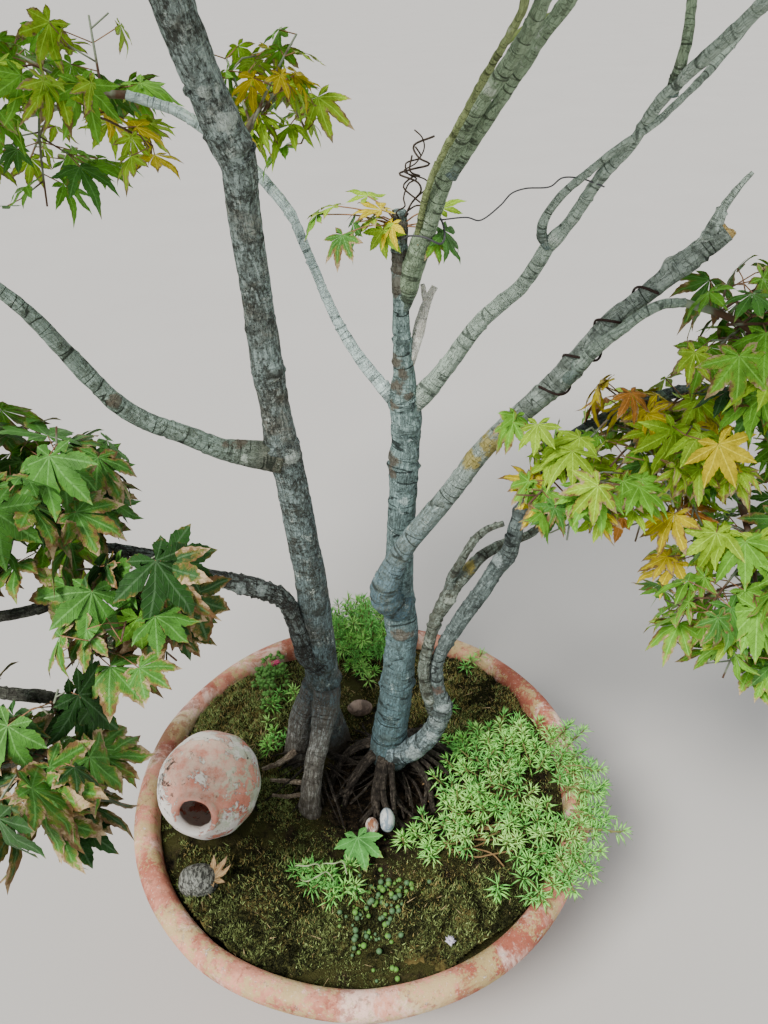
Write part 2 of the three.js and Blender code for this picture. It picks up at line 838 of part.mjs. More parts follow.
function addJar() {
  const jar = (grow) => {
    const profile = JAR_SECTION.map(([r, z]) => new THREE.Vector2(r, z).multiplyScalar(JAR_RADIUS));
    const swell = 1 + (2 * grow) / JAR_RADIUS;
    const turn = new THREE.Quaternion().setFromUnitVectors(new THREE.Vector3(0, 0, 1), JAR_AXIS);
    const geometry = new THREE.LatheGeometry(profile, JAR_SEGMENTS).rotateX(Math.PI / 2);
    geometry.applyQuaternion(turn).scale(swell, swell, swell);
    geometry.translate(JAR_CENTRE.x, JAR_CENTRE.y, JAR_CENTRE.z);
    return solidOf(geometry).trimByPlane([0, 0, 1], GROUND - grow);
  };
  addMesh(groups.dressing, "clay_jar", cutClear(jar(0)), COLOURS.terracotta, 0.9);
  placed.push(jar(CLEAR));
}

// Stones, moss cushions and stonecrop rest on the filling, each cut clear of the others.
// A cushion is anything that reaches further than CUSHION_REACH.
const CUSHION_REACH = 40;

function settle(name, colour, centre, reach, seed, roughness, spikes) {
  const sides = reach[0] > CUSHION_REACH ? 10 : 7;
  const build = (grow) => {
    const grown = reach.map((r) => r + grow);
    const body = lump(centre, grown, seed, sides, roughness);
    const parts = spikes ? [body, ...shoots(centre, grown, seed, spikes, grow)] : [body];
    const joined = parts.length > 1 ? wasm.Manifold.union(parts) : body;
    return joined.trimByPlane([0, 0, 1], GROUND - grow);
  };
  addMesh(groups.dressing, name, cutClear(build(0)), COLOURS[colour], 0.95);
  placed.push(build(CLEAR));
}

// Pointed shoots that stand out of a stonecrop cushion, each SHOOT long. They start at this
// share of its reach outwards and between these shares of its height.
const SHOOT = 46;
const SHOOT_WIDTHS = [16, 5];
const SHOOT_OUT = 0.8;
const SHOOT_HEIGHTS = [0.1, 0.6];
const SHOOT_RISE = [0.6, 1];

function shoots(centre, reach, seed, count, grow) {
  const random = randomFrom(seed);
  return Array.from({ length: count }, (_, i) => {
    const turn = i * GOLDEN_ANGLE;
    const ring = Math.sqrt((i + 0.5) / count);
    const outward = new THREE.Vector3(ring * Math.cos(turn), ring * Math.sin(turn), 0);
    const dome = Math.sqrt(1 - ring * ring);
    const spot = outward.clone().multiplyScalar(SHOOT_OUT);
    spot.setZ(THREE.MathUtils.lerp(...SHOOT_HEIGHTS, dome));
    spot.multiply(new THREE.Vector3(...reach)).add(new THREE.Vector3(...centre));
    outward.setZ(THREE.MathUtils.lerp(...SHOOT_RISE, random())).normalize();
    const tip = spot.clone().addScaledVector(outward, SHOOT);
    const ends = [[...spot, SHOOT_WIDTHS[0]], [...tip, SHOOT_WIDTHS[1]]];
    return tube(ends, 3, SHOOT, grow);
  });
}

function addDressing() {
  addJar();
  settle("pebble_banded", "stone", [30, -62, 208], [9, 15, 12], 1, 0.02);
  settle("pebble_brown", "stone", [12, -66, 203], [8, 11, 9], 2, 0.02);
  settle("stone_pink", "stone", [-2, 110, 206], [17, 11, 12], 3, 0.04);
  settle("stone_grey", "stone", [-176, -128, 208], [24, 19, 17], 4, 0.05);
  settle("stonecrop_right", "stonecrop", [188, -46, 206], [96, 118, 34], 5, 0.03, 7);
  settle("stonecrop_back", "stonecrop", [-4, 232, 214], [56, 42, 62], 6, 0.03, 4);
  settle("moss_left", "moss", [-150, 84, 192], [84, 104, 24], 7, 0.03);
  settle("moss_front", "moss", [-96, -158, 192], [122, 70, 22], 8, 0.03);
  settle("moss_right_front", "moss", [96, -176, 192], [84, 52, 26], 9, 0.03);
  settle("moss_back_right", "moss", [132, 128, 192], [80, 84, 22], 10, 0.03);
}

addBowl();
addSoil();
addTrunks();
addBoughs();
addFoliage();
addDressing();

export default root;
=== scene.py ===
"""A maple bonsai in a terracotta bowl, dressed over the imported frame.

The frame's origin is the centre of the bowl's flat underside, +X is the tree's right seen
from its front, +Y its back and +Z up. Lengths that repeat the part's own sizes are written
in millimetres and scaled by MM, and everything made here is in metres.
"""

import math
import random

import bpy
import numpy as np
from mathutils import Matrix, Vector


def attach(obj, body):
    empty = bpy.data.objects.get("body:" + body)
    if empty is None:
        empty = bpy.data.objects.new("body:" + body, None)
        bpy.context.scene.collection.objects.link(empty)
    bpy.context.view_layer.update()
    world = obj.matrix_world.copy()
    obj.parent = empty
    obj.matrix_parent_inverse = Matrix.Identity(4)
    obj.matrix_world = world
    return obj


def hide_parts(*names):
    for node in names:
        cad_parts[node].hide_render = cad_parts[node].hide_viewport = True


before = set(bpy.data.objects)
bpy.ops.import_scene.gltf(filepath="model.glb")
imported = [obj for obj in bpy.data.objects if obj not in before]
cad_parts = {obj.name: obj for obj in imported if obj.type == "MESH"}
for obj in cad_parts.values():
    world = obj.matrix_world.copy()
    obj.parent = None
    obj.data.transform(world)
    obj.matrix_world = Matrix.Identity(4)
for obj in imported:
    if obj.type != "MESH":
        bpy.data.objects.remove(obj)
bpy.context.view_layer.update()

MM = 0.001
UP = np.array([0.0, 0.0, 1.0])
GOLDEN_ANGLE = math.pi * (3 - math.sqrt(5))

# The bowl and its filling.
RIM_RADIUS = 270 * MM
RIM_TOP = 215 * MM
RIM_BAND = 30 * MM
RIM_WIDTH = 27 * MM
RIM_ROUND = 8 * MM
BASE_RADIUS = 150 * MM
BASE_THICKNESS = 22 * MM
WALL = 18 * MM
WALL_BULGE = [(12 * MM, 10 * MM), (62 * MM, 70 * MM), (94 * MM, 130 * MM)]
SOIL_TOP = 195 * MM
INNER_RADIUS = RIM_RADIUS - RIM_WIDTH
BOWL_SIDES = 180

# The photograph's camera: where it is, how far it looks down and leans, and its lens for
# an image of 768 x 1024.
CAMERA_SPOT = (39.4 * MM, -620.5 * MM, 1017.7 * MM)
CAMERA_PITCH = math.radians(34.34)
CAMERA_ROLL = math.radians(-2.16)
CAMERA_LENS = 28.125


def limb(look, sides, stations, **own):
    """A row of LIMBS: what a limb has by itself, and its own values over that."""
    row = dict(look=look, sides=sides, stations=stations, marks=(), bands=(), cut=False)
    row.update(extras=(), looks=(), side_roots=(), crown=(0, 0, 0), feet=())
    return {**row, **own}


# Every limb: its look, how many sides its tube has, its stations [x, y, z, diameter] in
# millimetres, the spurs and legs that grow from it, with their looks where these differ, its
# roots, and its marks. A mark is a spot on its surface, how far it spreads, how far it stands
# out, and how it is stained. A band is a fold right round the limb at a height, with how far
# it stands out. The roots start at the crown, and a foot is the turn, the reach and the
# width of one of them.
LIMBS = {
    "left_trunk": limb("grey", 60, [
        (-38, 66, 184, 54), (-46, 62, 262, 40), (-41, 56, 296, 41), (-41, 54, 360, 38),
        (-42, 50, 475, 34), (-46, 47, 537, 32), (-50, 44, 606, 30), (-54, 42, 641, 33),
        (-57, 40, 694, 26), (-59, 40, 722, 29), (-60, 37, 790, 26), (-61, 30, 867, 26),
        (-60, 24, 897, 28), (-64, 16, 917, 32), (-72, 2, 951, 27), (-81, -24, 1004, 28),
        (-86, -34, 1050, 34),
    ], extras=[
        [
            (-36, 44, 318, 26), (-39, 39, 295, 31), (-46, 14, 265, 24), (-55, -8, 237, 23),
            (-60, -26, 210, 25), (-62, -38, 184, 30),
        ],
        [(-52, 56, 310, 26), (-72, 50, 256, 28), (-84, 42, 184, 34)],
    ], looks=["leg", "leg"], side_roots=[
        [(-60, -14, 216, 7), (-84, -8, 213, 6), (-110, 0, 207, 4)],
        [(-58, -24, 214, 6), (-84, -28, 212, 5), (-106, -20, 205, 4)],
        [(-80, 30, 222, 9), (-100, 20, 213, 8), (-122, 18, 205, 5)],
    ], marks=[
        (-71, -11, 951, 6, 1, "pale"), (-60, -9, 953, 5, 1, "pale"), (-52, 9, 914, 9, 5, "dark"),
        (-61, -2, 932, 9, 3, "pale"), (-52, 25, 841, 7, 2, "dark"), (-68, 29, 766, 8, 3, "dark"),
        (-52, 29, 727, 10, 4, "dark"), (-65, 30, 646, 12, 5, "dark"), (-45, 31, 640, 10, 4, "pale"),
        (-45, 31, 657, 8, 3, "dark"), (-53, 39, 473, 6, 3, "dark"), (-43, 38, 443, 14, 2, "dark"),
        (-35, 42, 350, 10, 3, "dark"), (-20, 54, 324, 9, 4, "dark"), (-54, -15, 246, 9, 2, "dark"),
        (-60, -37, 216, 10, 2, "dark"),
    ], bands=[(950, 2.4), (925, 1.5), (905, 2.2), (868, 1), (722, 1.6), (648, 2), (632, 1.4)]),
    "central_trunk": limb("blue_green", 56, [
        (36, 18, 226, 52), (37, 17, 269, 39), (43, 18, 312, 38), (47, 20, 348, 37), (50, 22, 383, 35),
        (54, 24, 413, 34), (53, 25, 438, 36), (52, 27, 462, 32), (54, 29, 533, 28), (59, 30, 601, 27),
        (60, 30, 626, 30), (62, 30, 651, 26), (63, 30, 674, 29), (62, 30, 699, 27), (62, 30, 719, 18),
        (60, 30, 768, 15), (60, 30, 795, 13), (60, 30, 859, 10),
    ], crown=(36, 18, 244), feet=[
        (-170, 78, 15), (-138, 78, 13), (-101, 86, 17), (-76, 80, 12), (-50, 84, 13), (-8, 94, 17),
        (52, 84, 17), (124, 62, 17),
    ], marks=[
        (49, 14, 462, 13, 2, "warm"), (54, 12, 430, 11, 2, "warm"), (49, 24, 636, 10, 2, "warm"),
        (48, 23, 624, 8, -1, "warm"), (62, 23, 754, 6, 4, "dark"), (53, 22, 735, 9, 3, "warm"),
        (60, 18, 724, 8, 3, "warm"), (54, 21, 712, 10, 3, "warm"), (65, 18, 705, 6, 2, "warm"),
        (52, 22, 694, 7, 2, "warm"), (66, 17, 694, 6, 2, "dark"), (64, 18, 670, 9, 4, "dark"),
        (58, 18, 541, 7, 2, "dark"), (59, 19, 594, 6, 1, "pale"), (37, 4, 275, 16, 2, "dark"),
        (60, 25, 800, 12, 2, "warm"), (60, 25, 822, 14, 2, "warm"), (60, 25, 846, 14, 2, "warm"),
    ], bands=[
        (290, 0.8), (307, 1), (320, 0.7), (331, 1), (346, 2.4), (362, 0.8), (382, 1.3), (393, 1.6),
        (412, 1.6), (424, 2), (452, 2.4), (464, 2), (500, 0.8), (534, 1.4), (560, 0.8), (586, 1.2),
        (612, 1), (626, 2), (664, 2), (689, 1.6), (702, 2.2), (728, 1), (751, 1.4), (787, 1.2), (812, 1),
        (828, 1),
    ]),
    "bough_right_cut": limb("pale", 48, [
        (50, 22, 462, 30), (42, 14, 471, 26), (37, 4, 497, 26), (46, 1, 527, 22), (60, 0, 555, 20),
        (98, 0, 608, 19), (133, 0, 661, 17), (171, 0, 701, 19), (194, 0, 725, 21), (213, 0, 749, 19),
        (230, 0, 774, 15), (250, -2, 792, 15), (266, -5, 808, 16), (283, -8, 825, 18),
        (304, -10, 845, 17),
    ], extras=[
        [
            (291, -10, 836, 12), (296, -10, 852, 10), (299, -10, 862, 7), (306, -10, 874, 5),
            (315, -10, 886, 3),
        ],
    ], looks=["mint_spur"], marks=[
        (42, 3, 483, 8, 3, "dark"), (32, 4, 477, 8, 3, "dark"), (34, -8, 508, 6, 1, "dark"),
        (55, -8, 543, 5, 1, "dark"), (91, -8, 607, 6, 1, "dark"), (118, -5, 650, 11, 1, "warm"),
        (135, -8, 666, 13, 1, "warm"), (156, -6, 677, 10, 1, "warm"), (167, -9, 700, 8, 2, "dark"),
        (179, -9, 714, 7, 1, "dark"), (187, -8, 726, 6, 1, "dark"), (195, -6, 739, 9, 3, "dark"),
        (213, -9, 753, 5, 1, "dark"), (224, -8, 765, 6, 2, "dark"), (248, -9, 793, 5, 1, "dark"),
        (267, -4, 821, 7, 4, "pale"), (270, -13, 818, 5, 2, "dark"), (285, -17, 830, 5, 1, "dark"),
        (297, -18, 842, 5, 1, "dark"),
    ], bands=[
        (474, 2), (484, 2), (495, 2.2), (513, 1), (538, 0.8), (575, 0.7), (612, 0.9), (648, 0.6),
        (682, 0.9), (710, 1.1), (736, 1.4), (764, 1), (790, 0.8), (815, 1.2), (829, 1),
    ], cut=True),
    "branch_right_wired": limb("mint", 20, [
        (196, -4, 726, 12), (219, -14, 758, 10), (236, -18, 775, 9), (249, -20, 787, 9),
        (262, -20, 793, 8), (280, -18, 793, 7),
    ]),
    "bough_low_right": limb("dark_green", 44, [
        (36, 6, 248, 22), (45, 2, 247, 23), (59, 0, 253, 23), (77, -3, 274, 23), (91, -3, 301, 22),
        (95, -3, 326, 25), (92, -2, 354, 15), (90, 1, 379, 14), (94, 6, 400, 14), (115, 12, 442, 17),
        (141, 15, 487, 18), (153, 16, 510, 17), (163, 16, 527, 18), (170, 18, 565, 15),
        (193, 24, 616, 15), (213, 32, 641, 14), (242, 40, 658, 14), (288, 52, 672, 12),
        (332, 62, 678, 11), (376, 64, 672, 11),
    ], marks=[
        (90, -10, 311, 9, 1, "pale"), (98, -10, 337, 8, 4, "pale"), (91, -10, 328, 7, 2, "dark"),
        (85, -11, 291, 8, 1, "pale"), (66, -11, 258, 12, 1, "pale"), (90, -7, 359, 8, -2, "warm"),
        (97, 6, 422, 8, 2, "dark"), (152, 12, 522, 8, 3, "pale"), (169, 16, 577, 9, 3, "dark"),
        (206, 26, 641, 7, 2, "pale"), (234, 34, 659, 7, 2, "dark"), (262, 41, 668, 8, 2, "pale"),
    ], bands=[
        (262, 1), (274, 1.4), (286, 1.6), (303, 1.4), (319, 2.2), (329, 2), (344, 1.2), (392, 1),
        (430, 1), (470, 1), (515, 1.4), (545, 1), (590, 1), (655, 1), (673, 1),
    ]),
    "branch_low_right_twin": limb("mint_dark", 34, [
        (91, -1, 322, 17), (83, -1, 342, 15), (78, 1, 364, 14), (77, 3, 388, 14), (86, 9, 432, 13),
        (91, 11, 450, 13), (100, 15, 467, 17), (107, 18, 483, 15), (118, 22, 494, 14), (138, 30, 514, 12),
        (163, 41, 521, 11), (190, 48, 527, 9), (210, 54, 542, 8),
    ], extras=[
        [
            (104, 17, 479, 10), (106, 15, 500, 9), (112, 13, 516, 9), (128, 10, 551, 8), (138, 8, 563, 7),
            (154, 6, 571, 6),
        ],
    ], marks=[
        (83, -7, 344, 6, 1, "pale"), (90, 5, 444, 6, 2, "dark"), (86, 9, 451, 5, 2, "dark"),
        (104, 9, 475, 9, 3, "pale"), (109, 13, 491, 7, 2, "dark"), (125, 20, 507, 11, 1, "warm"),
        (136, 26, 518, 6, 2, "dark"), (157, 34, 522, 7, 2, "dark"),
    ], bands=[(360, 0.6), (410, 0.8), (440, 1.4), (450, 1.2), (472, 1.2), (490, 1)]),
    "branch_low_right_hanging": limb("olive", 16, [
        (300, 56, 676, 10), (330, 10, 658, 9), (356, -34, 616, 7),
    ]),
    "bough_upper_right": limb("mint", 36, [
        (61, 30, 684, 16), (73, 29, 695, 16), (81, 27, 704, 18), (97, 24, 726, 15), (126, 18, 770, 14),
        (157, 7, 804, 12), (172, -4, 836, 12), (185, -14, 857, 9), (200, -28, 890, 9), (215, -42, 914, 8),
        (222, -66, 942, 8), (252, -122, 995, 8), (306, -166, 1066, 9), (356, -188, 1130, 8),
    ], marks=[
        (84, 18, 709, 6, 1, "dark"), (110, 15, 751, 6, 1, "dark"), (140, 9, 791, 6, 2, "dark"),
        (167, -6, 825, 6, 1, "dark"), (176, -12, 845, 7, 2, "pale"), (199, -32, 891, 5, 1, "dark"),
        (216, -52, 924, 5, 1, "dark"),
    ]),
    "branch_upper_right_thin": limb("mint", 20, [
        (172, -6, 837, 7), (166, -8, 846, 7), (166, -10, 856, 7), (175, -17, 875, 6), (192, -27, 894, 6),
        (206, -46, 913, 5), (221, -56, 926, 5), (243, -48, 942, 5), (265, -34, 959, 6),
        (340, -6, 1044, 7), (408, 24, 1120, 7),
    ]),
    "branch_upper_right_back": limb("olive", 16, [
        (226, -72, 946, 7), (227, -82, 982, 6), (240, 0, 1060, 8), (252, 150, 1146, 8),
    ]),
    "leader_right": limb("olive", 40, [
        (61, 30, 780, 10), (66, 28, 796, 15), (71, 21, 819, 18), (76, 15, 836, 17), (83, 6, 857, 14),
        (92, -6, 888, 13), (101, -22, 917, 13), (113, -44, 944, 11), (126, -72, 968, 10),
        (135, -112, 999, 9), (146, -150, 1062, 12), (118, -204, 1136, 12), (72, -256, 1190, 11),
    ], marks=[
        (66, 21, 798, 8, 1, "dark"), (71, 13, 821, 6, 1, "dark"), (79, 3, 846, 6, 1, "dark"),
        (98, -24, 911, 6, 1, "dark"), (116, -57, 951, 5, 1, "pale"),
    ]),
    "leader_right_twin": limb("olive", 26, [
        (96, -12, 892, 9), (110, -22, 916, 10), (118, -32, 930, 10), (132, -48, 955, 9),
        (144, -60, 977, 9), (164, -74, 1012, 10), (184, -50, 1180, 10), (176, -30, 1300, 9),
    ]),
    "stem_right_slender": limb("green", 18, [
        (74, 8, 846, 5), (78, -4, 874, 5), (86, -20, 901, 5), (98, -46, 930, 5), (108, -76, 957, 5),
        (119, -106, 984, 5), (124, -122, 1002, 5), (112, -80, 1070, 7), (70, 40, 1156, 7),
        (-10, 176, 1216, 7),
    ]),
    "stub_dead_right": limb("dead", 24, [
        (65, 32, 728, 9), (71, 32, 743, 8), (75, 38, 754, 10), (78, 42, 765, 10), (82, 46, 776, 8),
        (90, 51, 790, 5),
    ], extras=[[(83, 47, 776, 6), (81, 48, 784, 5), (79, 49, 793, 4)]]),
    "branch_left_slender": limb("mint_ringed", 28, [
        (57, 33, 690, 12), (49, 37, 697, 12), (25, 49, 725, 11), (4, 63, 759, 9), (-15, 80, 804, 8),
        (-31, 95, 843, 9), (-43, 102, 858, 10), (-63, 110, 881, 9), (-85, 114, 899, 9),
        (-117, 120, 921, 9), (-160, 124, 936, 8),
    ], marks=[
        (47, 33, 703, 5, 1, "dark"), (15, 50, 740, 5, 1, "dark"), (-11, 71, 793, 4, 1, "dark"),
        (-31, 91, 844, 5, 2, "dark"), (-53, 102, 870, 4, 1, "dark"),
    ]),
    "bough_left": limb("green_grey", 44, [
        (-56, 38, 636, 25), (-82, 33, 643, 23), (-106, 27, 652, 19), (-135, 18, 673, 17),
        (-168, 8, 696, 15), (-187, 3, 716, 16), (-198, 2, 733, 15), (-207, 1, 748, 16),
        (-217, -4, 770, 14), (-232, -10, 800, 12), (-246, -13, 819, 11), (-318, -20, 880, 12),
        (-356, -22, 910, 11),
    ], marks=[
        (-78, 25, 650, 7, 2, "dark"), (-92, 30, 658, 9, 1, "warm"), (-104, 22, 660, 5, 1, "warm"),
        (-87, 21, 644, 6, 2, "pale"), (-133, 13, 679, 6, 2, "dark"), (-176, -2, 711, 6, 2, "dark"),
        (-185, -4, 720, 7, 3, "warm"), (-197, -5, 737, 6, 1, "dark"), (-215, -10, 773, 5, 1, "dark"),
    ]),
    "bough_low_left": limb("twisted", 44, [
        (-40, 48, 350, 23), (-53, 45, 369, 24), (-57, 43, 391, 23), (-66, 39, 444, 19),
        (-72, 37, 461, 19), (-85, 33, 474, 19), (-98, 30, 483, 21), (-115, 26, 494, 19),
        (-140, 15, 512, 16), (-160, 7, 532, 13), (-181, -4, 554, 12), (-212, -12, 571, 10),
        (-246, -24, 588, 9),
    ], marks=[
        (-64, 33, 453, 7, 2, "dark"), (-70, 30, 465, 6, 3, "dark"), (-78, 28, 476, 6, -2, "dark"),
        (-90, 24, 485, 7, 3, "pale"), (-103, 20, 495, 6, -2, "dark"), (-112, 17, 492, 8, 3, "pale"),
        (-122, 16, 504, 7, 2, "dark"), (-137, 9, 517, 6, 2, "dark"),
    ], bands=[(446, 1.6), (459, 2.2), (469, 2.4), (476, 2), (484, 2.2), (492, 2), (500, 1.4)]),
    "branch_low_left_outer": limb("brown", 18, [
        (-206, -12, 566, 10), (-264, -60, 548, 11), (-336, -92, 556, 10),
    ]),
    "branch_low_left_front": limb("brown", 18, [
        (-330, -88, 555, 9), (-318, -122, 512, 11), (-266, -128, 500, 12), (-234, -134, 500, 8),
    ]),
    "leader_left": limb("grey", 32, [
        (-86, -34, 1044, 30), (-100, -14, 1110, 26), (-134, 36, 1240, 19), (-150, 60, 1390, 13),
    ]),
    "bough_left_front": limb("grey", 28, [
        (-86, -36, 1038, 23), (-140, -70, 1080, 20), (-240, -108, 1160, 15), (-300, -130, 1222, 12),
    ]),
    "bough_left_back": limb("grey", 28, [
        (-84, -30, 1046, 20), (-112, 44, 1096, 18), (-190, 120, 1160, 14), (-270, 162, 1218, 11),
    ]),
}

# How limbs are made: the step between the rings of a thick tube and of a thin one, how thin
# that is, and the sides of a spur's tube. A groove is darkened as strongly as
# GROOVE_DARKENING on a limb as thick as THICK, where its fold is as high as FULL_GROOVE.
RING_STEP = 2.4 * MM
FINE_STEP = 1.7 * MM
THIN = 16 * MM
EXTRA_SIDES = 28
GROOVE_DARKENING = 0.36
THICK = 0.034
FULL_GROOVE = 0.0014

# How a bark looks unless its own line says otherwise: the strength of its lumps (share of
# the radius) and node rings, the distance between the rings, the strength of its cracks,
# crosswise scars, black specks and lichen, how far its light tone wins over its dark one,
# how soft the border between the two is, and how strong its warm film and the soil at its
# foot are.
PLAIN_BARK = dict(
    lumps=0.06, rings=0.0008, ring_gap=0.03, cracks=0.5, scars=0.4, specks=0.4, lichen=0.4,
    smooth=0.0, grain=0.11, film=0.0, soil=0.0,
)


def bark(slot, light, dark, lichen_tone, warm, base=None, base_reach=0.05, **own):
    """A look: its record slot, its tones, the tone at its foot and how far up that reaches."""
    colours = dict(light=light, dark=dark, lichen_tone=lichen_tone, warm=warm, base=base or light)
    return {**PLAIN_BARK, **colours, "slot": slot, "base_reach": base_reach, **own}


RED_BROWN = (0.13, 0.055, 0.035)
OCHRE = (0.38, 0.31, 0.07)
TRUNK_BLUE = (0.19, 0.265, 0.255)
DULL_BROWN = (0.13, 0.105, 0.075)
LOOKS = {
    "grey": bark(
        "bark_grey", (0.4, 0.5, 0.47), (0.06, 0.066, 0.056), (0.6, 0.68, 0.62), (0.2, 0.15, 0.1),
        (0.13, 0.2, 0.225), 0.72, rings=0.0005, ring_gap=0.09, cracks=0.45, scars=0.3, specks=0.8,
        lichen=0.5, soil=0.95, grain=0.075, film=0.6,
    ),
    "leg": bark(
        "bark_grey", (0.54, 0.52, 0.46), (0.13, 0.115, 0.095), (0.56, 0.57, 0.53), RED_BROWN,
        (0.14, 0.205, 0.225), 0.125, lumps=0.1, cracks=0.8, specks=0.5, soil=0.65,
    ),
    "twisted": bark(
        "bark_grey", (0.27, 0.32, 0.3), (0.045, 0.042, 0.036), (0.44, 0.52, 0.5),
        (0.12, 0.07, 0.04), (0.15, 0.205, 0.21), 0.13, lumps=0.16, rings=0.001, ring_gap=0.022,
        cracks=0.9, scars=0.8, specks=0.6,
    ),
    # Its foot tone reaches 0.64 m up the trunk and darkens its lower and middle parts: partly the bark's
    # own blue-grey and partly painted shade.
    "blue_green": bark(
        "bark_blue_green", (0.41, 0.57, 0.54), (0.09, 0.125, 0.12), (0.56, 0.7, 0.68), DULL_BROWN,
        (0.135, 0.235, 0.27), 0.64, rings=0.0006, ring_gap=0.026, scars=0.95, soil=0.95,
        smooth=0.025,
    ),
    "green_grey": bark(
        "bark_blue_green", (0.37, 0.485, 0.415), (0.11, 0.135, 0.1), (0.56, 0.64, 0.55),
        DULL_BROWN, (0.15, 0.145, 0.11), 0.07, rings=0.0006, ring_gap=0.026, cracks=0.35,
        scars=0.95, specks=0.5, smooth=0.045, film=0.45,
    ),
    "pale": bark(
        "bark_pale", (0.43, 0.51, 0.45), (0.13, 0.155, 0.13), (0.62, 0.68, 0.6), OCHRE,
        (0.12, 0.22, 0.28), 0.28, rings=0.0005, scars=0.85, cracks=0.3, specks=0.8, lichen=0.3,
        smooth=0.04,
    ),
    "mint": bark(
        "bark_pale", (0.47, 0.58, 0.49), (0.21, 0.265, 0.215), (0.68, 0.76, 0.68), OCHRE,
        TRUNK_BLUE, 0.03, lumps=0.07, ring_gap=0.034, cracks=0.25, scars=0.8, specks=0.7,
        smooth=0.08, grain=0.15,
    ),
    "mint_spur": bark(
        "bark_pale", (0.62, 0.74, 0.65), (0.24, 0.29, 0.24), (0.76, 0.82, 0.74), RED_BROWN,
        lumps=0.1, rings=0.001, ring_gap=0.02, scars=0.7, specks=0.5, smooth=0.05,
    ),
    # Its tones are raised far over the mint look's, partly as painted light on a slender branch that the
    # crown shades.
    "mint_ringed": bark(
        "bark_pale", (0.76, 0.94, 0.91), (0.5, 0.64, 0.61), (0.88, 0.96, 0.94), RED_BROWN,
        TRUNK_BLUE, 0.02, rings=0.0009, ring_gap=0.026, cracks=0.2, scars=0.7, smooth=0.13,
        grain=0.15,
    ),
    "dark_green": bark(
        "bark_blue_green", (0.22, 0.285, 0.275), (0.06, 0.074, 0.07), (0.42, 0.5, 0.49),
        (0.16, 0.1, 0.075), (0.32, 0.43, 0.47), 0.13, lumps=0.09, rings=0.0009, ring_gap=0.024,
        scars=0.9, specks=0.6, lichen=0.5,
    ),
    "mint_dark": bark(
        "bark_dark", (0.27, 0.33, 0.28), (0.07, 0.07, 0.052), (0.46, 0.52, 0.44), OCHRE,
        (0.24, 0.32, 0.3), lumps=0.1, rings=0.001, ring_gap=0.02, scars=0.8, specks=0.55,
    ),
    "olive": bark(
        "bark_olive", (0.35, 0.47, 0.31), (0.15, 0.19, 0.12), (0.64, 0.72, 0.6), RED_BROWN,
        TRUNK_BLUE, 0.02, lumps=0.07, rings=0.0006, ring_gap=0.038, cracks=0.25, scars=0.8,
        specks=0.6, smooth=0.09, grain=0.16,
    ),
    "green": bark(
        "bark_olive", (0.36, 0.44, 0.19), (0.15, 0.18, 0.075), (0.5, 0.56, 0.38), RED_BROWN,
        ring_gap=0.034, cracks=0.2, scars=0.8, smooth=0.09, grain=0.16,
    ),
    "brown": bark(
        "bark_dark", (0.16, 0.17, 0.14), (0.035, 0.033, 0.028), (0.3, 0.32, 0.28), RED_BROWN,
        lumps=0.08, ring_gap=0.02, specks=0.3, lichen=0.2,
    ),
    "dead": bark(
        "dead_wood", (0.98, 0.96, 0.88), (0.78, 0.73, 0.61), (1.0, 0.98, 0.94), RED_BROWN,
        (0.5, 0.42, 0.3), 0.008, lumps=0.14, rings=0.0003, cracks=0.3, scars=0.1, specks=0.3,
        lichen=0.3, smooth=0.08,
    ),
    "side_root": bark(
        "bark_grey", (0.56, 0.46, 0.34), (0.14, 0.1, 0.07), (0.6, 0.55, 0.45), RED_BROWN,
        lumps=0.12, cracks=0.6,
    ),
    "root": bark(
        "bark_dark", (0.11, 0.09, 0.07), (0.018, 0.014, 0.011), (0.22, 0.2, 0.16), RED_BROWN,
        lumps=0.15, rings=0.0006, ring_gap=0.014, cracks=0.7, scars=0.5, lichen=0.3,
    ),
}

# The stains of a limb's marks: their place among the values at its points, and the tone and
# strength with which they are laid, the last one on top.
STAINS = {"dark": 0, "warm": 1, "pale": 2}
STAIN_TONES = {"pale": ("lichen_tone", 0.7), "warm": ("warm", 0.85), "dark": ("dark", 0.7)}

# The barks that a limb's piece has after its own, how a mark of each kind is squashed along
# the limb, how many rootlets there are and where they spread from: a third of them at the
# left trunk and the others at the central one.
EXTRA_BARKS = ["root", "cut", "leg", "mint_spur", "side_root"]
MARK_SQUASH = {"dark": 1.9, "warm": 0.6, "pale": 0.6}
ROOTLETS = 70
ROOTLETS_LEFT, ROOTLETS_CENTRAL = (-50, 20), (36, 18)


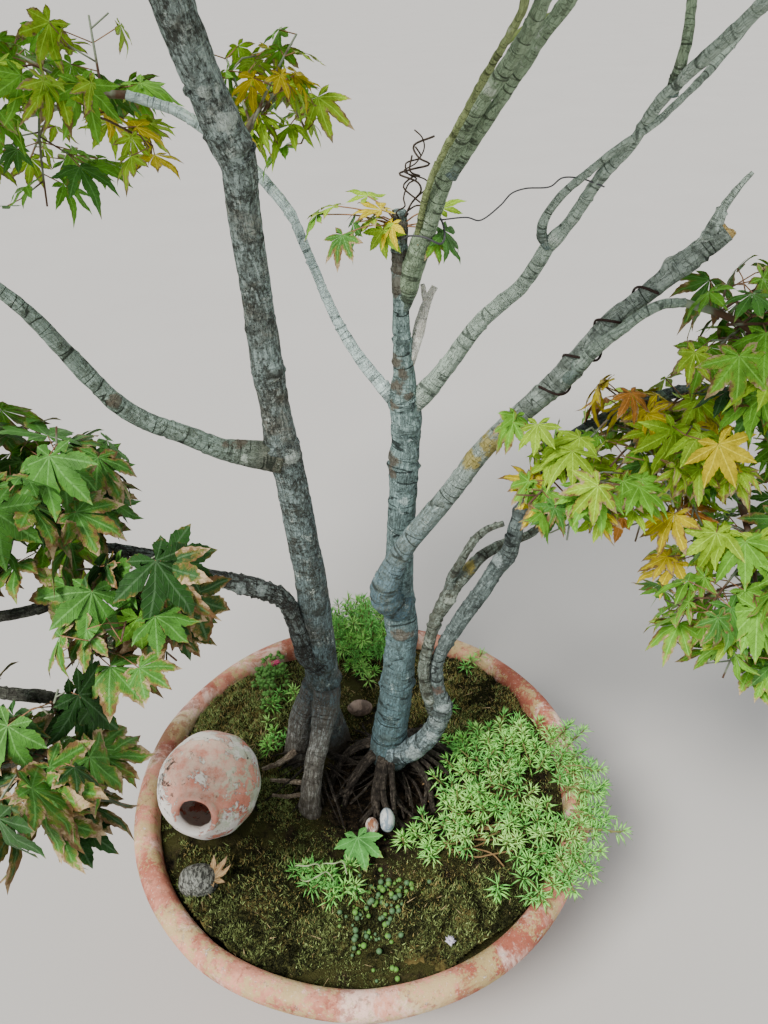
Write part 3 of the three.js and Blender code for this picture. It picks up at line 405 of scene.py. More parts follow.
class Shader:
    """A Principled material whose nodes are added by short calls."""

    def __init__(self, name, roughness=0.7, specular=0.3):
        self.material = bpy.data.materials.new(name)
        self.material.use_nodes = True
        self.tree = self.material.node_tree
        self.bsdf = self.tree.nodes["Principled BSDF"]
        self.bsdf.inputs["Roughness"].default_value = roughness
        self.bsdf.inputs["Specular IOR Level"].default_value = specular

    def feed(self, socket, value):
        """Links a socket to a node's output, or gives it a value."""
        if isinstance(value, bpy.types.NodeSocket):
            self.tree.links.new(value, socket)
        elif isinstance(value, tuple) and socket.type == "RGBA":
            socket.default_value = (*value, 1.0)
        else:
            socket.default_value = value

    def add(self, kind, *args, out=0, props=None, **inputs):
        """A node of that kind, fed by position or by name, and its output."""
        node = self.tree.nodes.new("ShaderNode" + kind)
        for key, value in (props or {}).items():
            setattr(node, key, value)
        for key, value in (*enumerate(args), *inputs.items()):
            self.feed(node.inputs[key], value)
        return node.outputs[out]

    def place(self):
        """The object's own coordinates, which are the frame's."""
        return self.add("TexCoord", out=3)

    def attribute(self, name):
        return self.add("Attribute", out=1, props={"attribute_name": name})

    def part(self, vector, axis):
        """One of a vector's three parts."""
        return self.add("SeparateXYZ", vector, out=axis)

    def stretch(self, vector, scale):
        return self.add("VectorMath", vector, scale, props={"operation": "MULTIPLY"})

    def away(self, vector, spot):
        """How far a place is from a spot."""
        return self.add("VectorMath", vector, spot, out=1, props={"operation": "DISTANCE"})

    def noise(self, vector, scale, detail=3.0, roughness=0.55, distortion=0.0):
        return self.add(
            "TexNoise", Vector=vector, Scale=scale, Detail=detail, Roughness=roughness,
            Distortion=distortion,
        )

    def calc(self, operation, a, b=0.0, c=0.5):
        return self.add("Math", a, b, c, props={"operation": operation})

    def times(self, a, b, *plus):
        """a times b, and where a third value is given, that value more."""
        return self.calc("MULTIPLY_ADD" if plus else "MULTIPLY", a, b, *plus)

    def step(self, value, low, high):
        """0 below low, 1 above high and smooth between them."""
        return self.add("MapRange", value, low, high, props={"interpolation_type": "SMOOTHSTEP"})

    def spots(self, low, high, *noise):
        """Patches where a noise is high: 0 below low and 1 above high."""
        return self.step(self.noise(*noise), low, high)

    def lines(self, wide, *noise):
        """1 along the thin winding lines where a noise crosses its middle, 0 elsewhere."""
        away = self.calc("ABSOLUTE", self.calc("SUBTRACT", self.noise(*noise), 0.5))
        return self.step(away, wide, 0.3 * wide)

    def mix(self, share, a, b):
        """A colour that is a where the share is 0, and b where it is 1."""
        node = self.tree.nodes.new("ShaderNodeMix")
        node.data_type = "RGBA"
        for index, value in ((0, share), (6, a), (7, b)):
            self.feed(node.inputs[index], value)
        return node.outputs[2]

    def paint(self, share, a, b):
        """The first tone: a where the share is 0, and b where it is 1."""
        self.tone = self.mix(share, a, b)
        self.feed(self.bsdf.inputs["Base Color"], self.tone)

    def lay(self, mask, strength, colour):
        """A colour laid over the tone where the mask is 1."""
        self.paint(self.times(mask, strength), self.tone, colour)

    def patch(self, strength, colour, low, high, *noise):
        """A colour laid in the patches where a noise is high."""
        self.lay(self.spots(low, high, *noise), strength, colour)

    def bump(self, height, distance):
        """Raises the surface by height times distance, in metres, over earlier bumps."""
        normal = self.bsdf.inputs["Normal"]
        under = {"Normal": normal.links[0].from_socket} if normal.is_linked else {}
        raised = self.add("Bump", Strength=1.0, Distance=distance, Height=height, **under)
        self.feed(normal, raised)


def tones(prefix, table, roughness=0.6, specular=0.2):
    """A plain shader for each named tone of a table."""
    return [plain(prefix + name, tone, roughness, specular) for name, tone in table.items()]


def plain(name, tone, roughness=0.6, specular=0.2):
    """A fine surface of one colour: a slight noise in its tone and relief."""
    shader = Shader(name, roughness, specular)
    place = shader.place()
    shader.paint(shader.noise(place, 180.0, 2.0), times(tone, 0.6), tone)
    shader.bump(shader.noise(place, 800.0, 2.0), 0.0003)
    return shader


def times(tone, share):
    """A tone at that share of its own strength."""
    return tuple(share * c for c in tone)


def add_object(name, data):
    """A new object in the scene."""
    thing = bpy.data.objects.new(name, data)
    bpy.context.scene.collection.objects.link(thing)
    return thing


def make_piece(name, points, triangles, materials, slots=None, smooth=True, values=None):
    """An object from arrays of points and triangles, each triangle with a material slot."""
    points = np.asarray(points, dtype=np.float32)
    triangles = np.asarray(triangles, dtype=np.int32)
    mesh = bpy.data.meshes.new(name)
    count = len(triangles)
    mesh.vertices.add(len(points))
    mesh.vertices.foreach_set("co", points.ravel())
    mesh.loops.add(count * 3)
    mesh.loops.foreach_set("vertex_index", triangles.ravel())
    mesh.polygons.add(count)
    mesh.polygons.foreach_set("loop_start", np.arange(0, count * 3, 3, dtype=np.int32))
    mesh.polygons.foreach_set("use_smooth", np.full(count, smooth, dtype=bool))
    if slots is not None:
        mesh.polygons.foreach_set("material_index", np.asarray(slots, dtype=np.int32))
    for key, vectors in (values or {}).items():
        attribute = mesh.attributes.new(key, "FLOAT_VECTOR", "POINT")
        attribute.data.foreach_set("vector", np.asarray(vectors, dtype=np.float32).ravel())
    mesh.update(calc_edges=True)
    for shader in materials:
        mesh.materials.append(shader.material)
    return add_object(name, mesh)


def dress(piece, slot, *nodes):
    """The piece rides on the plant and stands for the named nodes."""
    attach(piece, "root")
    if nodes:
        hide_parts(*nodes)


class Batch:
    """Small meshes gathered into one piece, some with values at their points."""

    def __init__(self, *keys):
        self.points, self.triangles, self.slots = [], [], []
        self.values = {key: [] for key in keys}
        self.count = 0

    def add(self, points, triangles, slot=0, *values):
        """Takes in one mesh, with its points' values in the order of the keys."""
        self.points.append(points)
        self.triangles.append(np.asarray(triangles) + self.count)
        self.slots.append(np.full(len(triangles), slot))
        for key, value in zip(self.values, values):
            self.values[key].append(value)
        self.count += len(points)

    def tube(self, stations, sides, step, slot=0, **relief):
        """Takes in one tube; a batch with two keys keeps its coordinates and stains."""
        points, triangles, *values = tube(stations, sides, step, **relief)
        self.add(points, triangles, slot, *values)

    def dress(self, name, materials, slot, *nodes):
        """The whole batch as one dressed piece."""
        points, triangles, slots = map(np.concatenate, (self.points, self.triangles, self.slots))
        values = {key: np.concatenate(value) for key, value in self.values.items()}
        piece = make_piece(name, points, triangles, materials, slots, values=values)
        dress(piece, slot, *nodes)


def unit(vector):
    """The vector's direction, as a vector of length 1."""
    return vector / max(np.linalg.norm(vector), 1e-9)


def mm(*values):
    """A place or reach written in millimetres, as an array in metres."""
    return np.array(values) * MM


def scaled(stations):
    """Stations written in millimetres, in metres."""
    return [tuple(value * MM for value in station) for station in stations]


def crossed(direction, tilt=0.0):
    """Two directions across a direction and each other, the first of them nearly level."""
    side = unit(np.cross(direction, UP + tilt))
    return side, np.cross(direction, side)


def round_about(turn, side, over):
    """The direction at a turn from side towards over."""
    return math.cos(turn) * side + math.sin(turn) * over


def heading(turn, rise=0.0):
    """The level direction at a turn round +Z, with how much it rises."""
    return np.array([math.cos(turn), math.sin(turn), rise])


def grid_triangles(rings, sides):
    """The triangles between rings of as many points each."""
    i = np.arange(rings - 1)[:, None] * sides
    j = np.arange(sides)[None, :]
    a, b = i + j, i + (j + 1) % sides
    c, d = a + sides, b + sides
    return np.vstack([np.stack(corners, -1).reshape(-1, 3) for corners in ((a, b, d), (a, d, c))])


def spline(stations, step):
    """The centripetal curve through stations, sampled every step: points and diameters."""
    data = np.array(stations, dtype=float)
    points, widths = data[:, :3], data[:, 3]
    ends = np.vstack([2 * points[0] - points[1], points, 2 * points[-1] - points[-2]])
    dense, dense_widths = [], []
    t = np.linspace(0, 1, 24, endpoint=False)[:, None]
    for i in range(len(points) - 1):
        p0, p1, p2, p3 = ends[i : i + 4]
        d0, d1, d2 = (math.sqrt(np.linalg.norm(b - a)) for a, b in ((p0, p1), (p1, p2), (p2, p3)))
        out = ((p1 - p0) / d0 - (p2 - p0) / (d0 + d1) + (p2 - p1) / d1) * d1
        into = ((p2 - p1) / d1 - (p3 - p1) / (d1 + d2) + (p3 - p2) / d2) * d1
        dense.append(
            (2 * t**3 - 3 * t**2 + 1) * p1 + (t**3 - 2 * t**2 + t) * out
            + (3 * t**2 - 2 * t**3) * p2 + (t**3 - t**2) * into
        )
        dense_widths.append(widths[i] + (widths[i + 1] - widths[i]) * t[:, 0])
    dense = np.vstack([*dense, points[-1:]])
    dense_widths = np.append(np.concatenate(dense_widths), widths[-1])
    lengths = np.append(0, np.cumsum(np.linalg.norm(np.diff(dense, axis=0), axis=1)))
    count = max(2, int(round(lengths[-1] / step)) + 1)
    at = np.linspace(0, lengths[-1], count)
    path = np.stack([np.interp(at, lengths, dense[:, axis]) for axis in range(3)], axis=1)
    return path, np.interp(at, lengths, dense_widths), at


def across_path(path):
    """Two normals along a path, carried without twist."""
    tangents = np.gradient(path, axis=0)
    tangents /= np.linalg.norm(tangents, axis=1)[:, None]
    side = unit(np.cross(tangents[0], (0.0, 1.0, 0.05)))
    sides = []
    for tangent in tangents:
        side = unit(side - tangent * side.dot(tangent))
        sides.append(side)
    sides = np.array(sides)
    return sides, np.cross(tangents, sides)


def lattice(rng, cell, columns, along, angle):
    """Smooth noise from -1 to 1 on a cylinder, with cells of that length."""
    columns = max(3, int(columns))
    grid = rng.uniform(-1, 1, (int(along.max() / cell) + 3, columns))
    row, column = along / cell, (angle / (2 * math.pi)) % 1.0 * columns
    i, j = (np.floor(spot).astype(int) for spot in (row, column))
    f, g = row - i, column - np.floor(column)
    f, g = f * f * (3 - 2 * f), g * g * (3 - 2 * g)
    j = j % columns
    k = (j + 1) % columns
    low = grid[i, j] * (1 - g) + grid[i, k] * g
    high = grid[i + 1, j] * (1 - g) + grid[i + 1, k] * g
    return low * (1 - f) + high * f


def fold(rng, along, angle, mean, spot, height):
    """A raised ring with a groove above it, wavering round the limb, and the groove."""
    waver = rng.uniform(0.0005, 0.0022) * np.sin(2 * angle + rng.uniform(0, 6))
    lean = rng.uniform(-0.3, 0.3) * mean * np.cos(angle + rng.uniform(0, 6))
    away = along - spot - lean - waver
    wide = rng.uniform(0.0016, 0.0026) * min(1.0, 0.4 + 0.6 * mean / 0.014)
    part = 0.55 + 0.45 * np.sin(angle * rng.integers(1, 3) + rng.uniform(0, 6))
    groove = np.exp(-(((away - 1.6 * wide) / (0.8 * wide)) ** 2)) * part
    return height * (part * np.exp(-((away / wide) ** 2)) - 0.9 * groove), groove


def bark_relief(rng, along, angle, radius, look, bands):
    """How far a limb's surface stands out, in metres, from its lumps, folds and grain, and
    how deep in a groove each point is."""
    mean = float(radius.mean())
    columns = 2 * math.pi * mean / 0.005
    lumps = 0.55 * lattice(rng, 0.045, 3, along, angle)
    lumps += 0.45 * lattice(rng, 0.015, 6, along, angle)
    relief = look["lumps"] * radius * lumps
    relief = relief + 0.0004 * lattice(rng, 0.005, columns, along, angle)
    seams = lattice(rng, 0.03, columns, along, angle)
    relief = relief - 0.0012 * look["cracks"] * np.clip(0.3 - np.abs(seams), 0, 1) * 3
    grooves = np.zeros_like(relief)
    spot = 0.3 * look["ring_gap"]
    folds = list(bands)
    while spot < along.max():
        folds.append((spot, look["rings"] * rng.uniform(0.3, 1.5)))
        spot += look["ring_gap"] * rng.uniform(0.5, 1.6)
    for spot, height in folds:
        raised, groove = fold(rng, along, angle, mean, spot, height)
        relief = relief + raised
        grooves = np.maximum(grooves, groove * min(1.0, height / FULL_GROOVE))
    return relief, grooves


def stamp(points, ring, tangents, stains, mark):
    """The points with one mark raised on them, after its stain is laid in the stains."""
    x, y, z, size, height, kind = mark
    away = points - mm(x, y, z)
    lengthwise = MARK_SQUASH[kind] * (away * tangents).sum(axis=2)
    away = np.hypot(np.linalg.norm(away, axis=2), lengthwise)
    share = np.exp(-((away / (size * MM)) ** 2))
    stain = stains[..., STAINS[kind]]
    np.maximum(stain, share, out=stain)
    return points + ring * (height * MM * share)[..., None]


def tube_triangles(rings, sides):
    """The triangles of a tube and of its ends, whose middles are its last two points."""
    j = np.arange(sides)
    beside = (j + 1) % sides
    last = (rings - 1) * sides
    start, end = np.full(sides, rings * sides), np.full(sides, rings * sides + 1)
    caps = [np.stack([start, beside, j], -1), np.stack([end, last + j, last + beside], -1)]
    return np.vstack([grid_triangles(rings, sides), *caps])


def tube(stations, sides, step, look=None, seed=0, flare=0.0, marks=(), bands=()):
    """A closed tube through stations in metres: points, triangles, straight coordinates and
    stains (dark, warm, pale)."""
    path, widths, at = spline(stations, step)
    smooth = np.convolve(np.pad(widths, 3, mode="edge"), np.ones(7) / 7, "valid")
    across, over = across_path(path)
    angle = np.linspace(0, 2 * math.pi, sides, endpoint=False)[None, :]
    along = np.repeat(at[:, None], sides, axis=1)
    angles = np.repeat(angle, len(at), axis=0)
    spread = np.repeat(smooth[:, None] / 2, sides, axis=1)
    stains = np.zeros((len(at), sides, 3))
    if flare:
        spread = spread * (1 + flare * np.exp(-along / (1.6 * smooth[0])))
    if look:
        rng = np.random.default_rng(seed)
        spots = [(float(np.interp(z * MM, path[:, 2], at)), height * MM) for z, height in bands]
        relief, grooves = bark_relief(rng, along, angles, spread, look, spots)
        spread = spread + relief
        stains[..., 0] = GROOVE_DARKENING * grooves * min(1.0, smooth.mean() / THICK)
    ring = np.cos(angles)[..., None] * across[:, None] + np.sin(angles)[..., None] * over[:, None]
    points = path[:, None] + ring * spread[..., None]
    tangents = np.cross(across, over)[:, None]
    for mark in marks:
        points = stamp(points, ring, tangents, stains, mark)
    straight = np.stack([spread * np.cos(angles), spread * np.sin(angles), along], axis=2)
    points = np.vstack([points.reshape(-1, 3), path[:1], path[-1:]])
    straight = np.vstack([straight.reshape(-1, 3), [[0, 0, 0]], [[0, 0, at[-1]]]])
    stains = np.vstack([stains.reshape(-1, 3), np.zeros((2, 3))])
    return points, tube_triangles(len(path), sides), straight, stains


def bark_ground(shader, look, limb, broad, fine):
    """The bark's light and dark tones, with its own tone towards the limb's foot."""
    foot = shader.step(shader.part(limb, 2), look["base_reach"], 0.0)
    light = shader.mix(foot, look["light"], look["base"])
    share = shader.times(fine, 0.62, shader.times(broad, 0.38))
    middle = 0.49 - look["smooth"]
    share = shader.step(share, middle - look["grain"], middle + look["grain"])
    shader.paint(share, look["dark"], light)


def bark_cover(shader, look, place, fine, patches):
    """The warm film and the crumbs of lichen that cover the bark in patches."""
    film = shader.times(shader.spots(0.5, 0.6, place, 17.0, 5.0, 0.7), shader.step(fine, 0.4, 0.6))
    shader.lay(film, look["film"], look["warm"])
    lichen = shader.step(patches, 0.66 - 0.22 * look["lichen"], 0.66)
    crumbs = shader.spots(0.45, 0.56, place, 480.0, 3.0, 0.7)
    shader.lay(shader.times(lichen, crumbs), 0.8, look["lichen_tone"])


def bark_stains(shader, look, patches, fine):
    """The stains of the limb's own marks, with ragged edges."""
    stain = shader.attribute("stain")
    ragged = shader.times(patches, 3.0, -1.5)
    ragged = shader.calc("ADD", ragged, shader.times(fine, 1.4, -0.7))
    for kind, (tone, strength) in STAIN_TONES.items():
        mask = shader.part(stain, STAINS[kind])
        edge = shader.times(ragged, shader.step(mask, 0.05, 0.4))
        shader.lay(shader.step(shader.calc("ADD", mask, edge), 0.3, 0.75), strength, look[tone])


def bark_shader(name, look):
    """Bark in the limb's own straight coordinates, so its grain runs along every bend."""
    shader = Shader(name, roughness=0.78, specular=0.2)
    limb, place = shader.attribute("limb"), shader.place()
    broad = shader.noise(limb, 46.0, 5.0, 0.62)
    fine = shader.noise(shader.stretch(limb, (1.0, 1.0, 0.7)), 330.0, 5.0, 0.78)
    patches = shader.noise(place, 60.0, 6.0, 0.72)
    bark_ground(shader, look, limb, broad, fine)
    bark_cover(shader, look, place, fine, patches)
    dark, black = look["dark"], times(look["dark"], 0.35)
    cracks = shader.lines(0.07, shader.stretch(limb, (1.0, 1.0, 0.2)), 230.0, 3.0, 0.6)
    shader.lay(cracks, look["cracks"], dark)
    scars = shader.lines(0.015, shader.stretch(limb, (0.22, 0.22, 1.0)), 150.0, 2.0, 0.5, 0.3)
    shader.lay(scars, 0.8 * look["scars"], dark)
    rings = shader.lines(0.015, shader.stretch(limb, (0.16, 0.16, 1.0)), 58.0, 2.0, 0.45, 0.25)
    rings = shader.times(rings, shader.spots(0.4, 0.52, place, 42.0, 3.0))
    shader.lay(rings, look["scars"], black)
    shader.patch(0.9, black, 0.72 - 0.1 * look["specks"], 0.7, limb, 380.0, 3.0, 0.75)
    bark_stains(shader, look, patches, fine)
    if look["soil"]:
        low = shader.step(shader.times(broad, 0.05, shader.part(place, 2)), 0.285, 0.22)
        muddy = shader.mix(fine, (0.012, 0.01, 0.007), (0.13, 0.1, 0.07))
        shader.lay(low, look["soil"], muddy)
    shader.bump(rings, -0.001)
    shader.bump(shader.noise(limb, 800.0, 4.0, 0.75), 0.0009)
    shader.bump(fine, 0.0014)
    shader.bump(cracks, -0.0012)
    shader.bump(scars, -0.0007)
    return shader


def make_limbs():
    """Every trunk and bough with its bark's relief, each in place of its own node."""
    shaders = {name: bark_shader("bark_" + name, look) for name, look in LOOKS.items()}
    shaders["cut"] = cut_wood_shader()
    for seed, (name, row) in enumerate(LIMBS.items()):
        look, batch = LOOKS[row["look"]], Batch("limb", "stain")

        def grow(stations, sides, flare, kind, number, bands=()):
            """One tube with its own bark, or with the limb's where kind is None."""
            slot = 1 + EXTRA_BARKS.index(kind) if kind else 0
            step = FINE_STEP if stations[0][3] < THIN else RING_STEP
            batch.tube(
                stations, sides, step, slot, look=LOOKS[kind] if kind else look, seed=number,
                flare=flare, marks=row["marks"], bands=bands,
            )

        flare = 0.0 if name.endswith("trunk") else 0.3
        grow(scaled(row["stations"]), row["sides"], flare, None, seed, row["bands"])
        kinds = row["looks"] or [None] * len(row["extras"])
        for index, (stations, kind) in enumerate(zip(row["extras"], kinds)):
            grow(scaled(stations), EXTRA_SIDES, 0.15, kind, 50 + seed + index)
        for index, stations in enumerate(root_stations(row["crown"], row["feet"])):
            grow(stations, EXTRA_SIDES // 2, 0.2, "root", 80 + index)
        for index, stations in enumerate(row["side_roots"]):
            grow(scaled(stations), EXTRA_SIDES // 2, 0.0, "side_root", 70 + index)
        if row["cut"]:
            add_cut_end(batch, scaled(row["stations"]))
        used = [shaders[key] for key in (row["look"], *EXTRA_BARKS)]
        batch.dress("limb_" + name, used, look["slot"], name)
    return shaders


def root_stations(crown, feet):
    """Each surface root, from inside the trunk's foot out and down into the soil."""
    x, y, z = crown
    rng = random.Random(5)
    strands = [
        (turn + side + rng.uniform(-5, 5), spread * rng.uniform(0.86, 1.04), width * share)
        for turn, spread, width in feet
        for side, share in ((0, 0.72), (13, 0.46), (-11, 0.34))
    ]
    for turn, spread, width in strands:
        a = math.radians(turn)
        bend = rng.uniform(-0.5, 0.5)
        stations = []
        for part, height, wide in (
            (0.05, z + 2, width + 8), (0.42, z - 10, width * 1.05),
            (0.75, z - 34, width * 0.85), (1.0, SOIL_TOP / MM - 10, width * 0.75),
        ):
            way = a + bend * (1 - part) * part * 4
            spot = (x + spread * part * math.cos(way), y + spread * part * math.sin(way))
            stations.append((*spot, height, wide))
        yield scaled(stations)


def make_rootlets(shader):
    """Thin roots over the dark hollow between the two trunks' feet."""
    rng = random.Random(13)
    batch = Batch("limb", "stain")
    for i in range(ROOTLETS):
        x, y = ROOTLETS_CENTRAL if i % 3 else ROOTLETS_LEFT
        turn = rng.uniform(-math.pi, math.pi)
        reach = rng.uniform(48, 92)
        bend = rng.uniform(-0.7, 0.7)
        high = rng.uniform(6, 34)
        wide = rng.uniform(1.6, 4.6)
        stations = []
        for part in (0.2, 0.5, 0.78, 1.0):
            a = turn + bend * part
            height = SOIL_TOP / MM + high * (1 - part**2) - 3 * part + rng.uniform(0, 4)
            spot = (x + reach * part * math.cos(a), y + reach * part * math.sin(a), height)
            stations.append((*spot, wide * (1.2 - 0.6 * part)))
        batch.tube(scaled(stations), 9, 2 * RING_STEP, look=LOOKS["root"], seed=200 + i)
    batch.dress("rootlets", [shader], "bark_dark")


def cut_wood_shader():
    """Pale and honey-brown fibres of sawn wood."""
    shader = Shader("cut_wood", roughness=0.8)
    fibre = shader.noise(shader.stretch(shader.place(), (1.0, 1.0, 1.6)), 520.0, 4.0, 0.7)
    shader.paint(shader.step(fibre, 0.35, 0.65), (0.34, 0.2, 0.05), (0.78, 0.6, 0.25))
    shader.bump(fibre, 0.0012)
    return shader


def add_cut_end(batch, stations):
    """The pale broken face on the end of a sawn bough, with torn fibres."""
    end = np.array(stations[-1][:3])
    axis = unit(end - np.array(stations[-2][:3]))
    side, over = crossed(axis)
    radius = stations[-1][3] / 2
    rng = np.random.default_rng(7)
    rings, sides = 7, 30
    points = []
    for ring in range(rings):
        share = ring / (rings - 1)
        for turn in np.linspace(0, 2 * math.pi, sides, endpoint=False):
            reach = radius * 0.99 * share
            torn = 0.0022 * rng.random() + 0.005 * share * max(0, math.sin(turn + 0.6))
            spot = end + axis * ((0.0012 + torn) * (1 - share**6) - 0.0006)
            points.append(spot + reach * round_about(turn, side, over))
    points = np.array(points)
    triangles = grid_triangles(rings, sides)[:, ::-1]
    batch.add(points, triangles, 1 + EXTRA_BARKS.index("cut"), points, np.zeros_like(points))


def limb_samples():
    """The limbs' middles and radii, for keeping leaves clear of them."""
    spots, radii = [], []
    for row in LIMBS.values():
        for stations in [row["stations"], *row["extras"]]:
            path, widths, _ = spline(scaled(stations), 0.008)
            spots.append(path)
            radii.append(widths / 2)
    return np.vstack(spots), np.concatenate(radii)


# Thin wires, dry twists and shoots: their width and colour, then their places.
IRON, ZINC = (0.035, 0.018, 0.014), (0.1, 0.1, 0.11)
DRY, GREEN = (0.05, 0.035, 0.025), (0.3, 0.4, 0.12)
PALE_STEM = (0.56, 0.66, 0.36)
STRAND_SLOTS = {GREEN: "bark_olive", PALE_STEM: "stonecrop"}
STRANDS = {
    "guy_wire": (1.2, ZINC, [
        (90, 4, 857), (111, 4, 858), (120, 2, 856), (135, 0, 867), (142, -4, 876), (151, -8, 880),
        (168, -14, 882), (175, -20, 889), (187, -24, 889), (202, -34, 885),
    ]),
    "leader_loop": (1.6, ZINC, [
        (52, 26, 846), (60, 18, 840), (67, 4, 846), (78, -9, 848), (90, -6, 842), (94, 6, 846),
        (90, 16, 857), (76, 20, 862),
    ]),
    "dry_twist": (1.6, DRY, [
        (64, 30, 848), (69, 25, 855), (63, 22, 861), (71, 27, 866), (77, 24, 872), (70, 21, 877),
        (65, 26, 883), (73, 28, 888), (79, 25, 893), (72, 23, 899), (76, 26, 905), (82, 25, 910),
    ]),
    "dry_curl": (1.3, DRY, [
        (62, 30, 850), (59, 24, 858), (66, 21, 864), (61, 26, 870), (67, 29, 877), (75, 25, 881),
        (70, 21, 887), (65, 25, 893), (73, 28, 899), (69, 25, 907),
    ]),
    "dry_knot": (1.4, DRY, [
        (66, 28, 855), (73, 30, 861), (76, 25, 867), (68, 22, 872), (63, 25, 878), (71, 29, 883),
        (77, 26, 887), (72, 22, 892), (67, 24, 897),
    ]),
    "dry_wisp": (1.1, DRY, [
        (70, 26, 872), (79, 28, 876), (77, 22, 883), (68, 20, 889), (76, 24, 896), (83, 27, 902),
        (78, 24, 912), (72, 26, 917),
    ]),
    "pale_stem_left": (1.6, PALE_STEM, [
        (-72, -118, 212), (-68, -124, 224), (-57, -128, 229), (-46, -124, 225), (-40, -131, 216),
    ]),
    "pale_stem_low": (1.5, PALE_STEM, [
        (-66, -132, 211), (-56, -141, 222), (-45, -139, 227), (-36, -132, 223), (-28, -138, 214),
    ]),
    "pale_stem_right": (1.4, PALE_STEM, [
        (-46, -118, 212), (-38, -124, 226), (-28, -127, 230), (-19, -122, 224), (-15, -130, 214),
    ]),
    "thin_shoot": (3.4, GREEN, [(124, -60, 976), (139, -58, 986), (150, -62, 990)]),
}

# The training wire: between which heights it winds on the sawn bough, how many times, and
# its width in millimetres.
WIRE_LOW, WIRE_HIGH = 0.712, 0.806
WIRE_TURNS = 3.3
WIRE_WIDTH = 2.2


def wire_coil():
    """The training wire's places in millimetres, wound on the sawn bough, slack on one side."""
    path, widths, _ = spline(scaled(LIMBS["bough_right_cut"]["stations"]), 0.002)
    on = (path[:, 2] > WIRE_LOW) & (path[:, 2] < WIRE_HIGH)
    path, widths = path[on], widths[on]
    across, over = across_path(path)
    turn = np.linspace(0.4, 0.4 + WIRE_TURNS * 2 * math.pi, len(path))[:, None]
    reach = (widths / 2 + 0.0016)[:, None] * (1 + 0.22 * np.clip(np.sin(turn), 0, 1))
    return (path + reach * (np.cos(turn) * across + np.sin(turn) * over))[::4] / MM


def add_strand(name, width, colour, spots):
    """One thin tube of a plain colour, as a piece of its own."""
    batch = Batch()
    batch.tube(scaled([(*spot, width) for spot in spots]), 8, 0.002)
    batch.dress(name, [plain(name, colour, 0.6)], STRAND_SLOTS.get(colour, "bark_dark"))


def make_strands():
    """The wires, the dry twists on the sawn trunk, the pale stems in the moss and a shoot."""
    rng = random.Random(17)
    for name, (width, colour, spots) in STRANDS.items():
        if colour == DRY:
            spots = [
                (x + rng.uniform(-5, 5), y + rng.uniform(-4, 4), z + rng.uniform(-4, 4))
                for x, y, z in spots
            ]
        add_strand(name, width, colour, spots)
    add_strand("training_wire", WIRE_WIDTH, IRON, wire_coil())


def inside_section(inset):
    """The inside of the bowl's wall, from below its rim to the middle of its floor."""
    return [
        (INNER_RADIUS - RIM_ROUND / 4 - inset, RIM_TOP - RIM_BAND),
        *[(BASE_RADIUS + out - WALL - inset, height) for out, height in WALL_BULGE[:0:-1]],
        (BASE_RADIUS - inset, BASE_THICKNESS + inset), (0.0, BASE_THICKNESS + inset),
    ]


def lathe(section, segments):
    """A surface of revolution round +Z from points [radius, height]."""
    section = np.asarray(section, dtype=float)
    turns = np.linspace(0, 2 * math.pi, segments, endpoint=False)
    reach, height = section[:, :1], np.repeat(section[:, 1:], segments, axis=1)
    points = np.stack([reach * np.cos(turns), reach * np.sin(turns), height], axis=2)
    return points.reshape(-1, 3), grid_triangles(len(section), segments)


def rounded(section, rounds):
    """An open outline with its corners cut back that many times, its two ends kept."""
    section = np.asarray(section, dtype=float)
    for _ in range(rounds):
        a, b = section[:-1], section[1:]
        cut = np.stack([0.75 * a + 0.25 * b, 0.25 * a + 0.75 * b], axis=1).reshape(-1, 2)
        section = np.vstack([section[:1], cut, section[-1:]])
    return section


def terracotta_shader():
    """Fired clay with lime, algae, red and worn patches, and a darker tone low on the wall."""
    shader = Shader("terracotta", roughness=0.85, specular=0.2)
    place = shader.place()
    tall, flat = shader.stretch(place, (1.0, 1.0, 0.35)), shader.stretch(place, (1.0, 1.0, 1.6))
    shader.paint(
        shader.spots(0.42, 0.6, place, 7.0, 6.0, 0.65), (0.34, 0.1, 0.065), (0.74, 0.34, 0.24)
    )
    shader.patch(0.6, (0.96, 0.76, 0.66), 0.5, 0.6, tall, 13.0, 7.0, 0.72, 0.5)
    shader.patch(0.62, (0.5, 0.46, 0.2), 0.5, 0.56, place, 18.0, 7.0, 0.8)
    shader.patch(0.6, (0.3, 0.075, 0.05), 0.53, 0.6, flat, 27.0, 6.0, 0.7, 0.3)
    # A darker tone towards the bottom of the wall.
    shader.lay(shader.step(shader.part(place, 2), 0.12, 0.0), 0.35, (0.3, 0.22, 0.16))
    shader.patch(0.55, (0.16, 0.08, 0.05), 0.56, 0.68, place, 110.0, 5.0, 0.75)
    chips = shader.spots(0.6, 0.66, place, 70.0, 6.0, 0.8)
    shader.lay(chips, 0.7, (0.86, 0.76, 0.68))
    shader.patch(0.35, (0.8, 0.72, 0.64), 0.6, 0.72, place, 420.0, 2.0)
    shader.bump(shader.noise(place, 90.0, 5.0, 0.65), 0.0014)
    shader.bump(shader.noise(place, 700.0, 3.0, 0.7), 0.0006)
    shader.bump(chips, 0.0005)
    return shader


